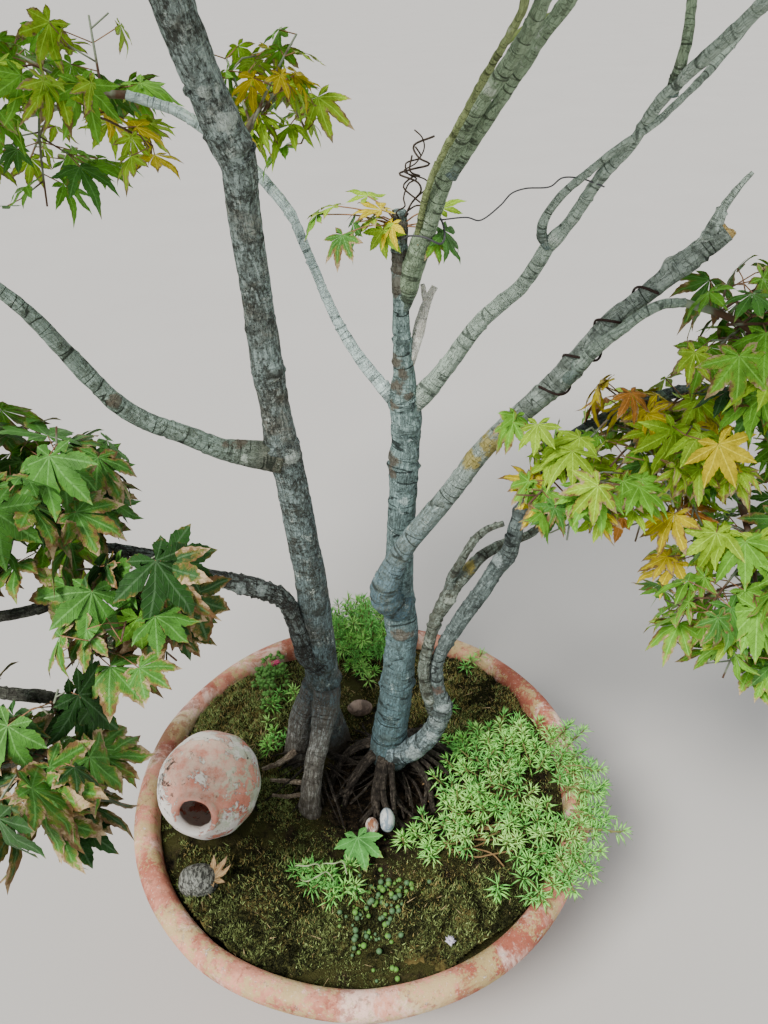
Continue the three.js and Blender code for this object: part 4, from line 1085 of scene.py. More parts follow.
def make_pot():
    """The bowl, turned from one outline and then very slightly out of round."""
    rim_low = RIM_TOP - RIM_BAND
    section = [
        (0.0, 0.0), (BASE_RADIUS - 0.004, 0.0), (BASE_RADIUS, 0.002),
        *[(BASE_RADIUS + out, height) for out, height in WALL_BULGE],
        (RIM_RADIUS - RIM_ROUND, rim_low), (RIM_RADIUS, rim_low + RIM_ROUND),
        (RIM_RADIUS, RIM_TOP - RIM_ROUND), (RIM_RADIUS - RIM_ROUND, RIM_TOP),
        (INNER_RADIUS + RIM_ROUND, RIM_TOP), (INNER_RADIUS, RIM_TOP - RIM_ROUND),
        *inside_section(0.0),
    ]
    points, triangles = lathe(rounded(section, 2), BOWL_SIDES)
    turn = np.arctan2(points[:, 1], points[:, 0])
    reach = np.hypot(points[:, 0], points[:, 1])
    wobble = 0.0012 * np.sin(3 * turn + 1.0) + 0.0009 * np.sin(7 * turn + 11 * points[:, 2])
    share = 1 - np.abs(wobble) / np.maximum(reach, 0.05)
    points[:, :2] *= share[:, None]
    dress(make_piece("bowl", points, triangles, [terracotta_shader()]), "terracotta", "pot")


# What grows on the soil: the middle and the reach of each moss cushion, how many rings and
# sides its surface has and how many rings the soil has, how far inside the wall's face the
# soil stays, and how many blades of moss are tried.
MOSS = {
    "moss_left": ((-150, 84, 192), (84, 104, 24)),
    "moss_front": ((-96, -158, 192), (122, 70, 22)),
    "moss_right_front": ((96, -176, 192), (84, 52, 26)),
    "moss_back_right": ((132, 128, 192), (80, 84, 22)),
}
CUSHION_RINGS, CUSHION_SIDES = 50, 110
SOIL_RINGS = 90
SOIL_INSET = 0.0006
MOSS_BLADES = 150000


def field(seed, cell):
    """Smooth noise over the plane, repeatable, with bumps of about that size."""
    rng = np.random.default_rng(seed)
    waves = rng.normal(0, 1.0 / cell, (14, 2))
    phases = rng.uniform(0, 2 * math.pi, 14)
    return lambda x, y: sum(
        np.sin(w[0] * x + w[1] * y + p) for w, p in zip(waves, phases)
    ) / 5.0


# The ground's bumps by their size, the stonecrop's bare patches, and the bare hollow under
# the roots: its middle and its reach in X and Y.
ROLL = field(1, 0.03)
CRUMB = field(2, 0.006)
CLUMP = field(3, 0.012)
BARE = field(8, 0.3)
HOLLOW = (0.035, -0.012, 0.1, 0.085)


def hollow(x, y):
    """How far into the bare hollow under the roots a place is, from 0 to 1."""
    cx, cy, rx, ry = HOLLOW
    away = np.hypot((x - cx) / rx, (y - cy) / ry) + 0.12 * CLUMP(x, y)
    return np.clip(1.15 - away, 0, 1)


def soil_height(x, y):
    """The soil's surface, hollow under the roots and low at the wall."""
    wall = 0.004 * np.clip((np.hypot(x, y) - 0.21) / 0.03, 0, 1)
    lumps = 0.0022 * ROLL(x, y) + 0.0045 * np.sqrt(np.abs(CLUMP(x, y))) + 0.0012 * CRUMB(x, y)
    return SOIL_TOP - 0.001 + lumps - 0.014 * hollow(x, y) - wall


def moss_height(x, y):
    """The top of the moss cushions, or of the soil where there is none."""
    top = soil_height(x, y)
    lumps = 0.011 * np.sqrt(np.abs(CLUMP(0.8 * x, 0.8 * y))) - 0.008
    lumps = lumps + 0.0014 * CRUMB(1.7 * x, y)
    for centre, reach in MOSS.values():
        (cx, cy, cz), (rx, ry, rz) = mm(*centre), mm(*reach)
        away = ((x - cx) / rx) ** 2 + ((y - cy) / ry) ** 2 + 0.16 * ROLL(2 * x, 2 * y)
        dome = cz + rz * np.sqrt(np.clip(1 - away, 0, 1)) - 0.001
        top = np.where(away < 1, np.maximum(top, dome + lumps), top)
    return top


def on_moss(x, y, above):
    """The place at that height over the moss or soil."""
    return np.array([x, y, float(moss_height(x, y)) + above])


def soil_shader():
    """Dark crumbs, near black and partly painted shade in the bare hollow under the roots, with a green
    film away from it, and specks of straw.
    """
    shader = Shader("soil", roughness=0.95, specular=0.1)
    place = shader.place()
    clods = shader.noise(place, 130.0, 6.0, 0.7)
    shader.paint(shader.step(clods, 0.4, 0.68), (0.005, 0.004, 0.003), (0.06, 0.042, 0.026))
    # Without the film the hollow under the roots stays near black: bare soil and painted shade under the
    # roots.
    away = shader.step(shader.away(place, (HOLLOW[0], HOLLOW[1], SOIL_TOP)), 0.07, 0.11)
    film = shader.times(shader.spots(0.36, 0.55, place, 30.0, 5.0, 0.65), away)
    shader.lay(film, 0.9, (0.06, 0.06, 0.018))
    shader.patch(0.6, (0.26, 0.18, 0.08), 0.62, 0.7, place, 560.0, 3.0, 0.7)
    shader.bump(clods, 0.006)
    shader.bump(shader.noise(place, 700.0, 3.0, 0.7), 0.002)
    return shader


def moss_shader():
    """The ground of a cushion under its blades, gold in patches."""
    shader = Shader("moss", roughness=0.95, specular=0.1)
    place = shader.place()
    tufts = shader.noise(place, 240.0, 6.0, 0.8)
    shader.paint(shader.step(tufts, 0.4, 0.66), (0.008, 0.009, 0.004), (0.12, 0.125, 0.04))
    shader.patch(0.7, (0.24, 0.18, 0.06), 0.52, 0.72, place, 34.0, 4.0, 0.6)
    shader.bump(tufts, 0.004)
    return shader


def make_ground():
    """The soil with its crumbly top, and the moss cushions on it."""
    edge = INNER_RADIUS - RIM_ROUND / 4 - SOIL_INSET
    top = [(r, SOIL_TOP) for r in np.linspace(0.0, edge, SOIL_RINGS)]
    points, triangles = lathe([*top, *inside_section(SOIL_INSET)], BOWL_SIDES)
    upper = np.arange(len(points)) < len(top) * BOWL_SIDES
    points[upper, 2] = soil_height(points[upper, 0], points[upper, 1])
    dress(make_piece("soil", points, triangles[:, ::-1], [soil_shader()]), "soil", "soil_fill")
    batch = Batch()
    disc = [(r, 0.0) for r in np.linspace(0, 1, CUSHION_RINGS)]
    for (cx, cy, _), (rx, ry, _) in MOSS.values():
        points, triangles = lathe(disc, CUSHION_SIDES)
        x = (cx + rx * points[:, 0]) * MM
        y = (cy + ry * points[:, 1]) * MM
        border = np.hypot(points[:, 0], points[:, 1]) > 0.98
        z = np.where(border, SOIL_TOP - 0.004, moss_height(x, y) - 0.0004)
        inside = np.hypot(x, y) < INNER_RADIUS - 0.002
        z = np.where(inside, z, SOIL_TOP - 0.006)
        keep = inside[triangles].all(axis=1)
        batch.add(np.stack([x, y, z], 1), triangles[keep][:, ::-1])
    batch.dress("moss", [moss_shader()], "moss", *MOSS)


# The jar: its sides, its radius, its middle, the direction of its mouth, where its clay is
# bare and where its crust is thick. Its outline, outside and then inside, is in shares of
# its radius.
JAR_SIDES = 110
JAR_RADIUS = 59 * MM
JAR_CENTRE = mm(-170, -38, 255)
JAR_AXIS = unit(np.array([-0.1, -0.93, 0.3]))
JAR_BARE = (-0.172, -0.064, 0.306)
JAR_CRUST = (-0.212, -0.09, 0.243)
JAR_OUTLINE = [
    (0.0, -0.95), (0.4, -0.95), (0.78, -0.66), (0.97, -0.26), (1.0, 0.06), (0.93, 0.45),
    (0.72, 0.74), (0.46, 0.87), (0.45, 0.96), (0.42, 1.02), (0.34, 1.0), (0.29, 0.9),
    (0.36, 0.78), (0.6, 0.6), (0.76, 0.3), (0.8, 0.0), (0.7, -0.4), (0.4, -0.74), (0.0, -0.8),
]


def scatter(rng, count, radius):
    """Even random places on the soil, clear of the jar and of the hollow."""
    reach = radius * np.sqrt(rng.random(count))
    turn = rng.random(count) * 2 * math.pi
    x, y = reach * np.cos(turn), reach * np.sin(turn)
    away = np.stack([x, y], 1) - JAR_CENTRE[:2]
    keep = np.linalg.norm(away, axis=1) > JAR_RADIUS * 0.8
    keep &= hollow(x, y) < 0.05 + 0.5 * rng.random(count) ** 3
    return x[keep], y[keep]


# The dark tone serves both as dark moss and as painted shade in the creases between the mounds.
MOSS_TONES = {
    "dark": (0.022, 0.024, 0.008), "gold": (0.44, 0.35, 0.12), "olive": (0.17, 0.215, 0.07),
    "fresh": (0.43, 0.55, 0.19), "straw": (0.5, 0.38, 0.2),
}


def blade_tones(rng, x, y, straw):
    """Each blade's place in MOSS_TONES: dark in the creases as painted shade and in patches, gold at the
    back, fresh by the jar.
    """
    golden = np.clip(0.4 + 0.3 * ROLL(1.3 * x, 1.3 * y) + 2.2 * y, 0, 1)
    # Blades in the creases between the mounds take the dark tone more often: painted shade.
    shaded_crease = np.abs(CLUMP(0.8 * x, 0.8 * y)) < 0.2
    dark = 0.28 + 0.45 * shaded_crease + 0.4 * (ROLL(2.1 * x, 2.1 * y) < -0.25)
    left = (x < -0.08) & (y > -0.04)
    dark = dark * np.where(left, 0.35, 1.0)
    pick = rng.random(len(x))
    slots = np.where(pick < dark, 0, np.where(pick < dark + 0.5 * golden, 1, 2))
    bright = np.hypot(x + 0.222, y + 0.056) < 0.03
    fresh = rng.random(len(x)) < 0.14 + 0.34 * left + 0.6 * bright
    return np.where(straw, 4, np.where(fresh & ~shaded_crease, 3, slots))


def make_moss_tufts():
    """Short upright blades all over the soil and the cushions, with straws among them."""
    rng = np.random.default_rng(11)
    x, y = scatter(rng, MOSS_BLADES, INNER_RADIUS - 0.004)
    z = moss_height(x, y)
    raised = z > SOIL_TOP + 0.003
    keep = raised | (CLUMP(1.5 * x, 1.5 * y) > -0.4)
    x, y, z, raised = x[keep], y[keep], z[keep], raised[keep]
    count = len(x)
    turn = rng.random(count) * 2 * math.pi
    straw = rng.random(count) < np.where(y > 0.02, 0.02, 0.004)
    tall = (0.0018 + 0.0038 * rng.random(count)) * np.where(raised, 1.0, 0.7)
    tall = np.where(straw, 0.003, tall)
    wide = 0.00045 + 0.0005 * rng.random(count)
    base = np.stack([x, y, z - 0.001], 1)
    side = np.stack([np.cos(turn), np.sin(turn), np.zeros(count)], 1) * wide[:, None]
    lean = rng.normal(0, 1, (count, 2)) * (np.where(straw, 0.006, 0.45 * tall))[:, None]
    tip = base + np.concatenate([lean, tall[:, None]], 1)
    points = np.stack([base - side, base + side, tip], 1).reshape(-1, 3)
    triangles = np.arange(3 * count).reshape(-1, 3)
    materials = tones("moss_", MOSS_TONES, 0.9)
    slots = blade_tones(rng, x, y, straw)
    dress(make_piece("moss_tufts", points, triangles, materials, slots, smooth=False), "moss")


# Stonecrop: cushions of narrow-leaved shoots, each with its centre, its reach and how many
# shoots it has. The right one is bare where BARE is over BARE_OVER. Then loose shoots by
# themselves: a place on the soil, and trailing shoots that hang over the rim: where they
# leave the cushion and where they end.
STONECROP = {
    "stonecrop_right": ((188, -46, 204), (94, 114, 26), 200),
    "stonecrop_back": ((-4, 232, 206), (52, 38, 66), 130),
}
STONECROP_TONES = {
    "mid": (0.22, 0.65, 0.14), "lime": (0.37, 0.9, 0.18), "pale": (0.52, 0.98, 0.25),
    "stem": (0.25, 0.24, 0.09), "runner": (0.27, 0.17, 0.08),
}
MID, LIME, STEM, RUNNER = 0, 1, 3, 4
RUNNERS = 26
SHOOT_LEAVES, SHORT_SHOOT_LEAVES = 19, 16
BARE_OVER = 0.3
LOOSE_SHOOTS = [
    (2, 188), (107, 48), (48, -80), (77, -96), (78, -74), (64, -86), (-18, -145), (-45, -127),
    (-62, -124), (-28, -150), (-13, -117), (-99, 66), (-121, 100), (-97, 134), (-124, 176),
    (99, 92), (120, 20), (96, -70), (-112, 44), (150, 178), (-52, -138), (-34, -132), (8, 176),
    (-10, 184), (112, 40),
]
TRAILERS = [
    ((238, -8, 222), (281, -20, 226)), ((236, 6, 224), (272, 32, 232)),
    ((220, -96, 224), (286, -99, 224)), ((222, -110, 222), (240, -150, 226)),
    ((210, -120, 222), (220, -162, 222)), ((236, -40, 226), (268, -52, 226)),
    ((150, -130, 212), (142, -160, 214)), ((176, -140, 214), (186, -172, 220)),
    ((232, 20, 226), (258, 44, 228)), ((236, -70, 226), (262, -84, 224)),
]


def needle(batch, root, direction, length, width, slot):
    """A fat narrow leaf that bends up: two crossed kites joined along their edges."""
    side, over = crossed(direction, 0.01)
    middle = root + direction * length * 0.5 - over * length * 0.06
    points = np.array([
        root, middle + side * width, middle + over * width * 0.6, middle - side * width,
        middle - over * width * 0.6, root + direction * length + over * length * 0.08,
    ])
    triangles = [
        (0, 2, 1), (0, 3, 2), (0, 4, 3), (0, 1, 4), (5, 1, 2), (5, 2, 3), (5, 3, 4), (5, 4, 1),
    ]
    batch.add(points, triangles, slot)


def shoot(batch, rng, foot, outward, tall, leaves, tone):
    """A stem and the narrow leaves round its upper part, closing to a rosette at its top."""
    side, over = crossed(outward, 0.02)
    for k in range(leaves):
        share = k / (leaves - 1)
        around = round_about(k * GOLDEN_ANGLE + rng.uniform(0, 0.6), side, over)
        direction = unit(around * (1.25 - 1.05 * share**2) + outward * (0.15 + 0.95 * share**2))
        length = (0.0135 + 0.0055 * rng.random()) * (1.0 - 0.4 * share**3)
        spot = foot + outward * tall * (0.35 + 0.65 * share)
        needle(batch, spot, direction, length, 0.00095, tone)
    batch.tube([(*foot, 0.0018), (*(foot + outward * tall), 0.0012)], 5, 0.02, STEM)


def add_cushion(batch, rng, centre, reach, count, back):
    """A cushion's shoots. In the back one, which is tall, they start at any height, and the
    other one is low and has bare patches."""
    for i in range(count):
        ring = math.sqrt((i + 0.5) / count)
        turn = i * GOLDEN_ANGLE + rng.normal(0, 0.12)
        flat = np.array([math.cos(turn), math.sin(turn)]) * ring
        if not back and BARE(*flat) > BARE_OVER:
            continue
        dome = math.sqrt(max(0.0, 1 - ring * ring))
        height = dome * (rng.random() if back else 0.15 + 0.85 * rng.random())
        spot = np.array([*flat, height]) * reach + centre
        outward = unit(np.array([*(flat * 0.8), 0.75 + 0.5 * rng.random()]))
        outward = unit(outward + rng.normal(0, 0.28, 3))
        tall = 0.014 + 0.016 * rng.random()
        over_rim = np.hypot(spot[0], spot[1]) > INNER_RADIUS - 0.006
        if over_rim and spot[2] < RIM_TOP + 0.002:
            spot[2] = RIM_TOP + 0.003
            tall *= 0.6
        # Shoots low in the cushion mostly take the mid tone and never the pale one: painted shade deep in
        # the cushion.
        tone = int(rng.integers(0, 3)) if height > 0.25 else int(rng.random() < 0.3)
        shoot(batch, rng, spot - outward * 0.008, outward, tall, SHOOT_LEAVES, tone)


def add_trailers(batch, rng):
    """Shoots on stems that hang over the rim."""
    for start, end in TRAILERS:
        a, b = mm(*start), mm(*end)
        stem = [(*a, 0.002), (*((a + b) / 2 + UP * 0.006), 0.0018), (*b, 0.0016)]
        batch.tube(stem, 5, 0.008, STEM)
        way = unit(b - a + UP * 0.01)
        shoot(batch, rng, b - unit(b - a) * 0.012, way, 0.016, SHOOT_LEAVES, LIME)
        way = unit(b - a + UP * 0.02)
        shoot(batch, rng, (a + b) / 2, way, 0.014, SHORT_SHOOT_LEAVES, MID)


def add_runners(batch, rng):
    """Bare brown stems that creep over the soil beside the right cushion."""
    for _ in range(RUNNERS):
        a = np.array([rng.uniform(0.07, 0.13), rng.uniform(-0.1, 0.0), 0.0])
        b = a + np.array([rng.uniform(0.03, 0.08), rng.normal(0, 0.03), 0.0])
        path = [a + (b - a) * part + rng.normal(0, 0.004, 3) for part in (0, 0.33, 0.66, 1)]
        batch.tube([(*on_moss(*p[:2], 0.006), 0.0019) for p in path], 6, 0.004, RUNNER)


def add_loose_shoots(batch, rng):
    """Three shoots at each place of LOOSE_SHOOTS."""
    for place in LOOSE_SHOOTS:
        for _ in range(3):
            foot = on_moss(*(mm(*place) + rng.normal(0, 0.007, 2)), -0.002)
            outward = unit(UP + rng.normal(0, 0.3, 3))
            tall = 0.01 + 0.012 * rng.random()
            tone = int(rng.integers(0, 3))
            shoot(batch, rng, foot, outward, tall, SHORT_SHOOT_LEAVES, tone)


def make_stonecrop():
    """The two cushions. The right one's piece has all other shoots of the plant as well."""
    rng = np.random.default_rng(21)
    materials = tones("stonecrop_", STONECROP_TONES, 0.6, 0.06)
    for name, (centre, reach, count) in STONECROP.items():
        batch = Batch()
        back = name == "stonecrop_back"
        add_cushion(batch, rng, mm(*centre), mm(*reach), count, back)
        if not back:
            add_trailers(batch, rng)
            add_runners(batch, rng)
            add_loose_shoots(batch, rng)
        batch.dress(name + "_shoots", materials, "stonecrop", name)


def ball(centre, reach, sides, rings):
    """A closed round shape with its own reach along each axis."""
    section = [(math.sin(a), -math.cos(a)) for a in np.linspace(0, math.pi, rings)]
    points, triangles = lathe(section, sides)
    return points * reach + centre, triangles


# Small plants in the moss: how many beads the front patch of succulents has, its middle and
# the middle of every fifth one, the flowers' places, heights over the moss and tones, how
# many petals each of them has, and the clover's heads and middle.
BEADS = 120
BEADS_AT, BEADS_BESIDE = (14, -168), (30, -140)
BEAD_TONES = {"blue": (0.11, 0.22, 0.1), "green": (0.16, 0.36, 0.07)}
FLOWERS = [(-124, 190, 16, 0), (-118, 186, 22, 0), (89, -206, 6, 1)]
PETALS = 14
PETAL_TONES = {"pink": (0.7, 0.1, 0.22), "pale": (0.72, 0.66, 0.78)}
CLOVER_HEADS = 46
CLOVER_AT = (-126, 158)
CLOVER_TONES = {"leaf": (0.12, 0.3, 0.06), "stem": (0.3, 0.35, 0.12)}


def make_beads(rng):
    """Round succulent leaves in the moss at the front."""
    batch = Batch()
    for i in range(BEADS):
        x, y = mm(*BEADS_AT) + rng.normal(0, 1, 2) * (0.018, 0.026)
        if i % 5 == 0:
            x, y = mm(*BEADS_BESIDE) + rng.normal(0, 1, 2) * (0.022, 0.012)
        size = 0.0013 + 0.002 * rng.random()
        spot = on_moss(x, y, size * rng.uniform(0.3, 1.6))
        tone = int(rng.random() < 0.5)
        batch.add(*ball(spot, size * np.array([1, 1, 0.85]), 8, 6), tone)
    batch.dress("succulent_beads", tones("bead_", BEAD_TONES, 0.45), "stonecrop")


def make_petals():
    """The clover's two pink flowers and a pale one at the front."""
    batch = Batch()
    for x, y, high, tone in FLOWERS:
        foot = on_moss(*mm(x, y), high * MM)
        for k in range(PETALS):
            needle(batch, foot, unit(heading(k * GOLDEN_ANGLE, 0.5 + 0.1 * k)), 0.007, 0.0022, tone)
    batch.dress("petals", tones("petal_", PETAL_TONES), "stonecrop")


def make_clover(rng):
    """Thin stems with three leaves each."""
    batch = Batch()
    for _ in range(CLOVER_HEADS):
        foot = on_moss(*(mm(*CLOVER_AT) + rng.normal(0, 1, 2) * (0.012, 0.024)), 0.0)
        head = foot + UP * (0.01 + 0.018 * rng.random())
        batch.tube([(*(foot - UP * 0.002), 0.0012), (*head, 0.001)], 4, 0.02, 1)
        for k in range(3):
            turn = k * 2.1 + 6 * rng.random()
            needle(batch, head, unit(heading(turn, rng.uniform(-0.1, 0.4))), 0.009, 0.0034, 0)
    batch.dress("clover", tones("clover_", CLOVER_TONES), "stonecrop")


def make_small_plants():
    """The beads of succulent, the petals and the clover, in the moss."""
    rng = np.random.default_rng(41)
    make_beads(rng)
    make_petals()
    make_clover(rng)


def jar_shader():
    """Old clay with white crust and flecks, lichen on its right, a pale film on top that is partly
    painted sunlight, black flakes.
    """
    shader = Shader("old_clay", roughness=0.88, specular=0.15)
    place = shader.place()
    x, z = shader.part(place, 0), shader.part(place, 2)
    shader.paint(
        shader.spots(0.4, 0.62, place, 20.0, 6.0, 0.65), (0.68, 0.23, 0.16), (0.88, 0.4, 0.3)
    )
    crust = shader.noise(place, 34.0, 8.0, 0.75, 0.3)
    for spot, low, high in ((JAR_BARE, 0.02, 0.06), (JAR_CRUST, 0.05, 0.02)):
        crust = shader.times(shader.step(shader.away(place, spot), low, high), 0.15, crust)
    flecks = shader.spots(0.62, 0.64, place, 95.0, 5.0, 0.7)
    crust = shader.calc("MAXIMUM", shader.step(crust, 0.62, 0.64), flecks)
    white = shader.mix(shader.noise(place, 130.0, 4.0, 0.7), (0.84, 0.78, 0.71), (1.0, 0.98, 0.93))
    shader.lay(crust, 0.95, white)
    lichen = shader.spots(0.5, 0.54, place, 48.0, 7.0, 0.75)
    right = shader.step(x, -0.165, -0.14)
    shader.lay(shader.times(right, lichen), 0.8, (0.6, 0.66, 0.48))
    # The pale cream laid over the top is partly a lime film and partly painted sunlight on the jar's
    # upper side.
    film = shader.spots(0.34, 0.6, place, 60.0, 6.0, 0.7)
    top = shader.step(z, 0.272, 0.31)
    shader.lay(shader.times(top, film), 0.55, (0.96, 0.88, 0.7))
    left = shader.step(x, -0.19, -0.215)
    flakes = shader.times(left, 0.08, shader.noise(place, 75.0, 7.0, 0.8, 0.5))
    flakes = shader.step(flakes, 0.63, 0.65)
    shader.lay(flakes, 0.92, (0.035, 0.028, 0.026))
    shader.bump(crust, 0.003)
    shader.bump(flakes, -0.002)
    shader.bump(shader.noise(place, 420.0, 4.0, 0.75), 0.0014)
    return shader


def make_jar():
    """The small jar on its side, hollow, with a thick lumpy wall and a rolled lip."""
    points, triangles = lathe(rounded(JAR_OUTLINE, 2), JAR_SIDES)
    turn = np.arctan2(points[:, 1], points[:, 0])
    bumps = np.sin(5 * turn + 4 * points[:, 2]) + np.sin(9 * turn - 7 * points[:, 2] + 1)
    points[:, :2] *= (1 + 0.01 * bumps)[:, None] * 0.98
    points *= JAR_RADIUS
    side = unit(np.cross(UP, JAR_AXIS))
    basis = np.stack([side, np.cross(JAR_AXIS, side), JAR_AXIS])
    points = points @ basis + JAR_CENTRE
    dress(make_piece("jar", points, triangles, [jar_shader()]), "old_clay", "clay_jar")


# Pebbles and stones: how many sides and rings each has, then its slot, its centre, its
# reach, how fine its bands are and the two tones of them.
STONE_SIDES, STONE_RINGS = 48, 34
STONES = {
    "pebble_banded": (
        "pebble_grey", (30, -62, 208), (9, 15, 12), 120.0, (0.2, 0.26, 0.32), (0.66, 0.68, 0.66)),
    "pebble_brown": (
        "pebble_brown", (12, -66, 203), (8, 11, 9), 120.0, (0.3, 0.12, 0.06), (0.78, 0.74, 0.68)),
    "stone_pink": (
        "pebble_brown", (-2, 110, 206), (17, 11, 12), 120.0, (0.16, 0.11, 0.085),
        (0.4, 0.28, 0.22)),
    "stone_grey": (
        "pebble_grey", (-176, -128, 208), (24, 19, 17), 420.0, (0.03, 0.03, 0.026),
        (0.24, 0.25, 0.22)),
}


def stone_shader(name, grain, dark, light):
    """Bands of two tones, more of them where the grain is higher."""
    shader = Shader(name, roughness=0.6)
    place = shader.place()
    bands = shader.stretch(place, (1.0, 0.35, 1.0))
    shader.paint(shader.spots(0.42, 0.6, bands, grain, 4.0, 0.7, 0.5), dark, light)
    shader.bump(shader.noise(place, 500.0, 4.0), 0.0006)
    return shader


def make_stones():
    """Each stone as a lumpy ball in place of its own node."""
    rng = np.random.default_rng(31)
    for seed, (name, stone) in enumerate(STONES.items()):
        slot, centre, reach, *look = stone
        shader = stone_shader(name, *look)
        points, triangles = ball(np.zeros(3), 1.0, STONE_SIDES, STONE_RINGS)
        waves = rng.normal(0, 2.2, (6, 3))
        lumps = sum(np.sin(points @ wave + seed + k) for k, wave in enumerate(waves))
        points = points * (1 + 0.02 * lumps)[:, None] * np.array(reach) * MM * 0.96
        points = points + mm(*centre)
        dress(make_piece("piece_" + name, points, triangles, [shader]), slot, name)


# Foliage. Each mass keeps the space of its node: the spot that its stem grows from and the
# stem's width, the middle and reach of its space, how many twigs it has, its tints and how
# long its leaves are. A twig has two widths, where it starts and where it ends.
CROWN = (200, 182, 132)
MASSES = {
    "foliage_top_left": ((-150, 60, 1390), 12, (-150, 70, 1556), CROWN, 15, "upper", 50),
    "foliage_top_right": ((176, -30, 1300), 9, (190, -10, 1436), CROWN, 15, "upper", 50),
    "foliage_left_front": ((-300, -130, 1222), 12, (-424, -172, 1300), CROWN, 15, "upper", 50),
    "foliage_left_back": ((-270, 162, 1218), 11, (-384, 222, 1296), CROWN, 15, "golden", 50),
    "foliage_back": ((-10, 176, 1216), 7, (-60, 370, 1290), CROWN, 15, "upper", 50),
    "foliage_back_right": ((252, 150, 1146), 8, (272, 330, 1246), CROWN, 15, "upper", 50),
    "foliage_right": ((408, 24, 1120), 7, (536, 94, 1210), CROWN, 15, "golden", 50),
    "foliage_right_front": ((356, -188, 1130), 8, (442, -262, 1220), CROWN, 15, "upper", 50),
    "foliage_front": ((72, -256, 1190), 11, (4, -342, 1294), (200, 170, 126), 18, "upper", 50),
    "foliage_left_middle": ((-356, -22, 910), 11, (-476, -20, 970), (150, 150, 108), 12, "upper", 48),
    "foliage_left_high": ((-160, 124, 936), 7, (-238, 152, 922), (126, 110, 92), 8, "airy", 40),
    "foliage_trunk_spray": ((-64, 21, 902), 4, (-36, 118, 934), (70, 66, 56), 6, "yellowing", 34),
    "foliage_stub_spray": ((60, 30, 846), 4, (36, 16, 866), (80, 66, 50), 5, "yellowing", 30),
    "foliage_right_high": ((280, -18, 793), 7, (352, -32, 758), (98, 90, 78), 11, "right", 46),
    "foliage_right_near": ((193, 24, 616), 5, (200, -50, 660), (86, 78, 60), 8, "bright", 36),
    "foliage_right_inner": ((270, 47, 665), 7, (284, -12, 650), (106, 98, 86), 13, "bright", 40),
    "foliage_right_outer": ((376, 64, 672), 10, (486, 56, 652), (118, 108, 92), 12, "right", 46),
    "foliage_right_low": ((356, -34, 616), 7, (366, -82, 552), (118, 108, 92), 13, "right", 41),
    "foliage_left_inner": ((-246, -24, 588), 9, (-284, -30, 636), (134, 112, 86), 10, "low", 54),
    "foliage_left_near": ((-181, -4, 552), 7, (-186, -108, 566), (92, 92, 84), 7, "low", 56),
    "foliage_left_outer": ((-336, -92, 556), 9, (-440, -120, 560), (118, 108, 92), 9, "low", 54),
    "foliage_left_low": ((-234, -134, 500), 8, (-246, -216, 514), (110, 96, 90), 9, "low", 56),
}
STALK_LENGTH = 26 * MM
NODE_GAP = 26 * MM
TWIG, SIDE_TWIG = (0.003, 0.0014), (0.002, 0.0012)

# Twigs end within this share of the space's height from its middle, and leaves below the
# second. A node has its leaf with that chance, and a leaf is tried that many times.
HEIGHT_USED = 0.86
HIGHEST = 0.78
LEAF_CHANCE = 0.86
LEAF_TRIES = 4

# Leaf tints, which of them the sprays of a mass take, and the share of its leaves that are
# burnt at the edge. A spray's leaves keep to its tint, but for a share that are one step off.
TINTS = {
    "deep": (0.024, 0.08, 0.016),
    "green": (0.07, 0.215, 0.03),
    "fresh": (0.16, 0.41, 0.03),
    "lime": (0.34, 0.57, 0.025),
    "yellow": (0.68, 0.54, 0.015),
    "amber": (0.5, 0.2, 0.03),
}
SPRAYS = {
    "upper": (["green", "fresh", "fresh", "lime"], 0.25),
    "golden": (["fresh", "fresh", "lime", "yellow"], 0.35),
    # The airy sprays take lighter tints, partly as painted light for a mass that the crown above shades.
    "airy": (["fresh", "lime", "fresh", "lime", "green"], 0.5),
    "yellowing": (["fresh", "lime", "lime", "yellow"], 0.45),
    "right": (["green", "fresh", "fresh", "lime", "fresh"], 0.35),
    "bright": (["fresh", "lime", "fresh", "lime", "yellow"], 0.45),
    "low": (["deep", "green", "green", "deep", "green", "fresh"], 0.74),
}
STRAY = 0.18
BURNS = [(0.16, 0.08, 0.035), (0.5, 0.36, 0.22)]
RUST = (0.5, 0.24, 0.05)

# Sprays of few leaves, leaf by leaf: where its stalk meets it, the turn that it points to
# and how far down, in degrees, its length and its tint.
SPRIGS = {
    "foliage_stub_spray": [
        (24, 20, 853, 195, 58, 31, "green"), (10, 22, 866, 160, 14, 27, "lime"),
        (46, 20, 862, 130, -12, 30, "yellow"), (40, 18, 857, 190, 20, 24, "lime"),
        (47, 16, 848, 255, 78, 25, "lime"), (54, 18, 852, 215, 44, 22, "yellow"),
        (92, 18, 862, 55, -26, 26, "lime"), (95, 14, 846, -30, 56, 29, "green"),
        (88, 12, 842, -60, 70, 22, "fresh"), (-4, 22, 860, 200, 34, 22, "fresh"),
        (36, 40, 868, 110, -20, 24, "lime"), (16, -8, 852, 240, 40, 26, "green"),
    ],
}


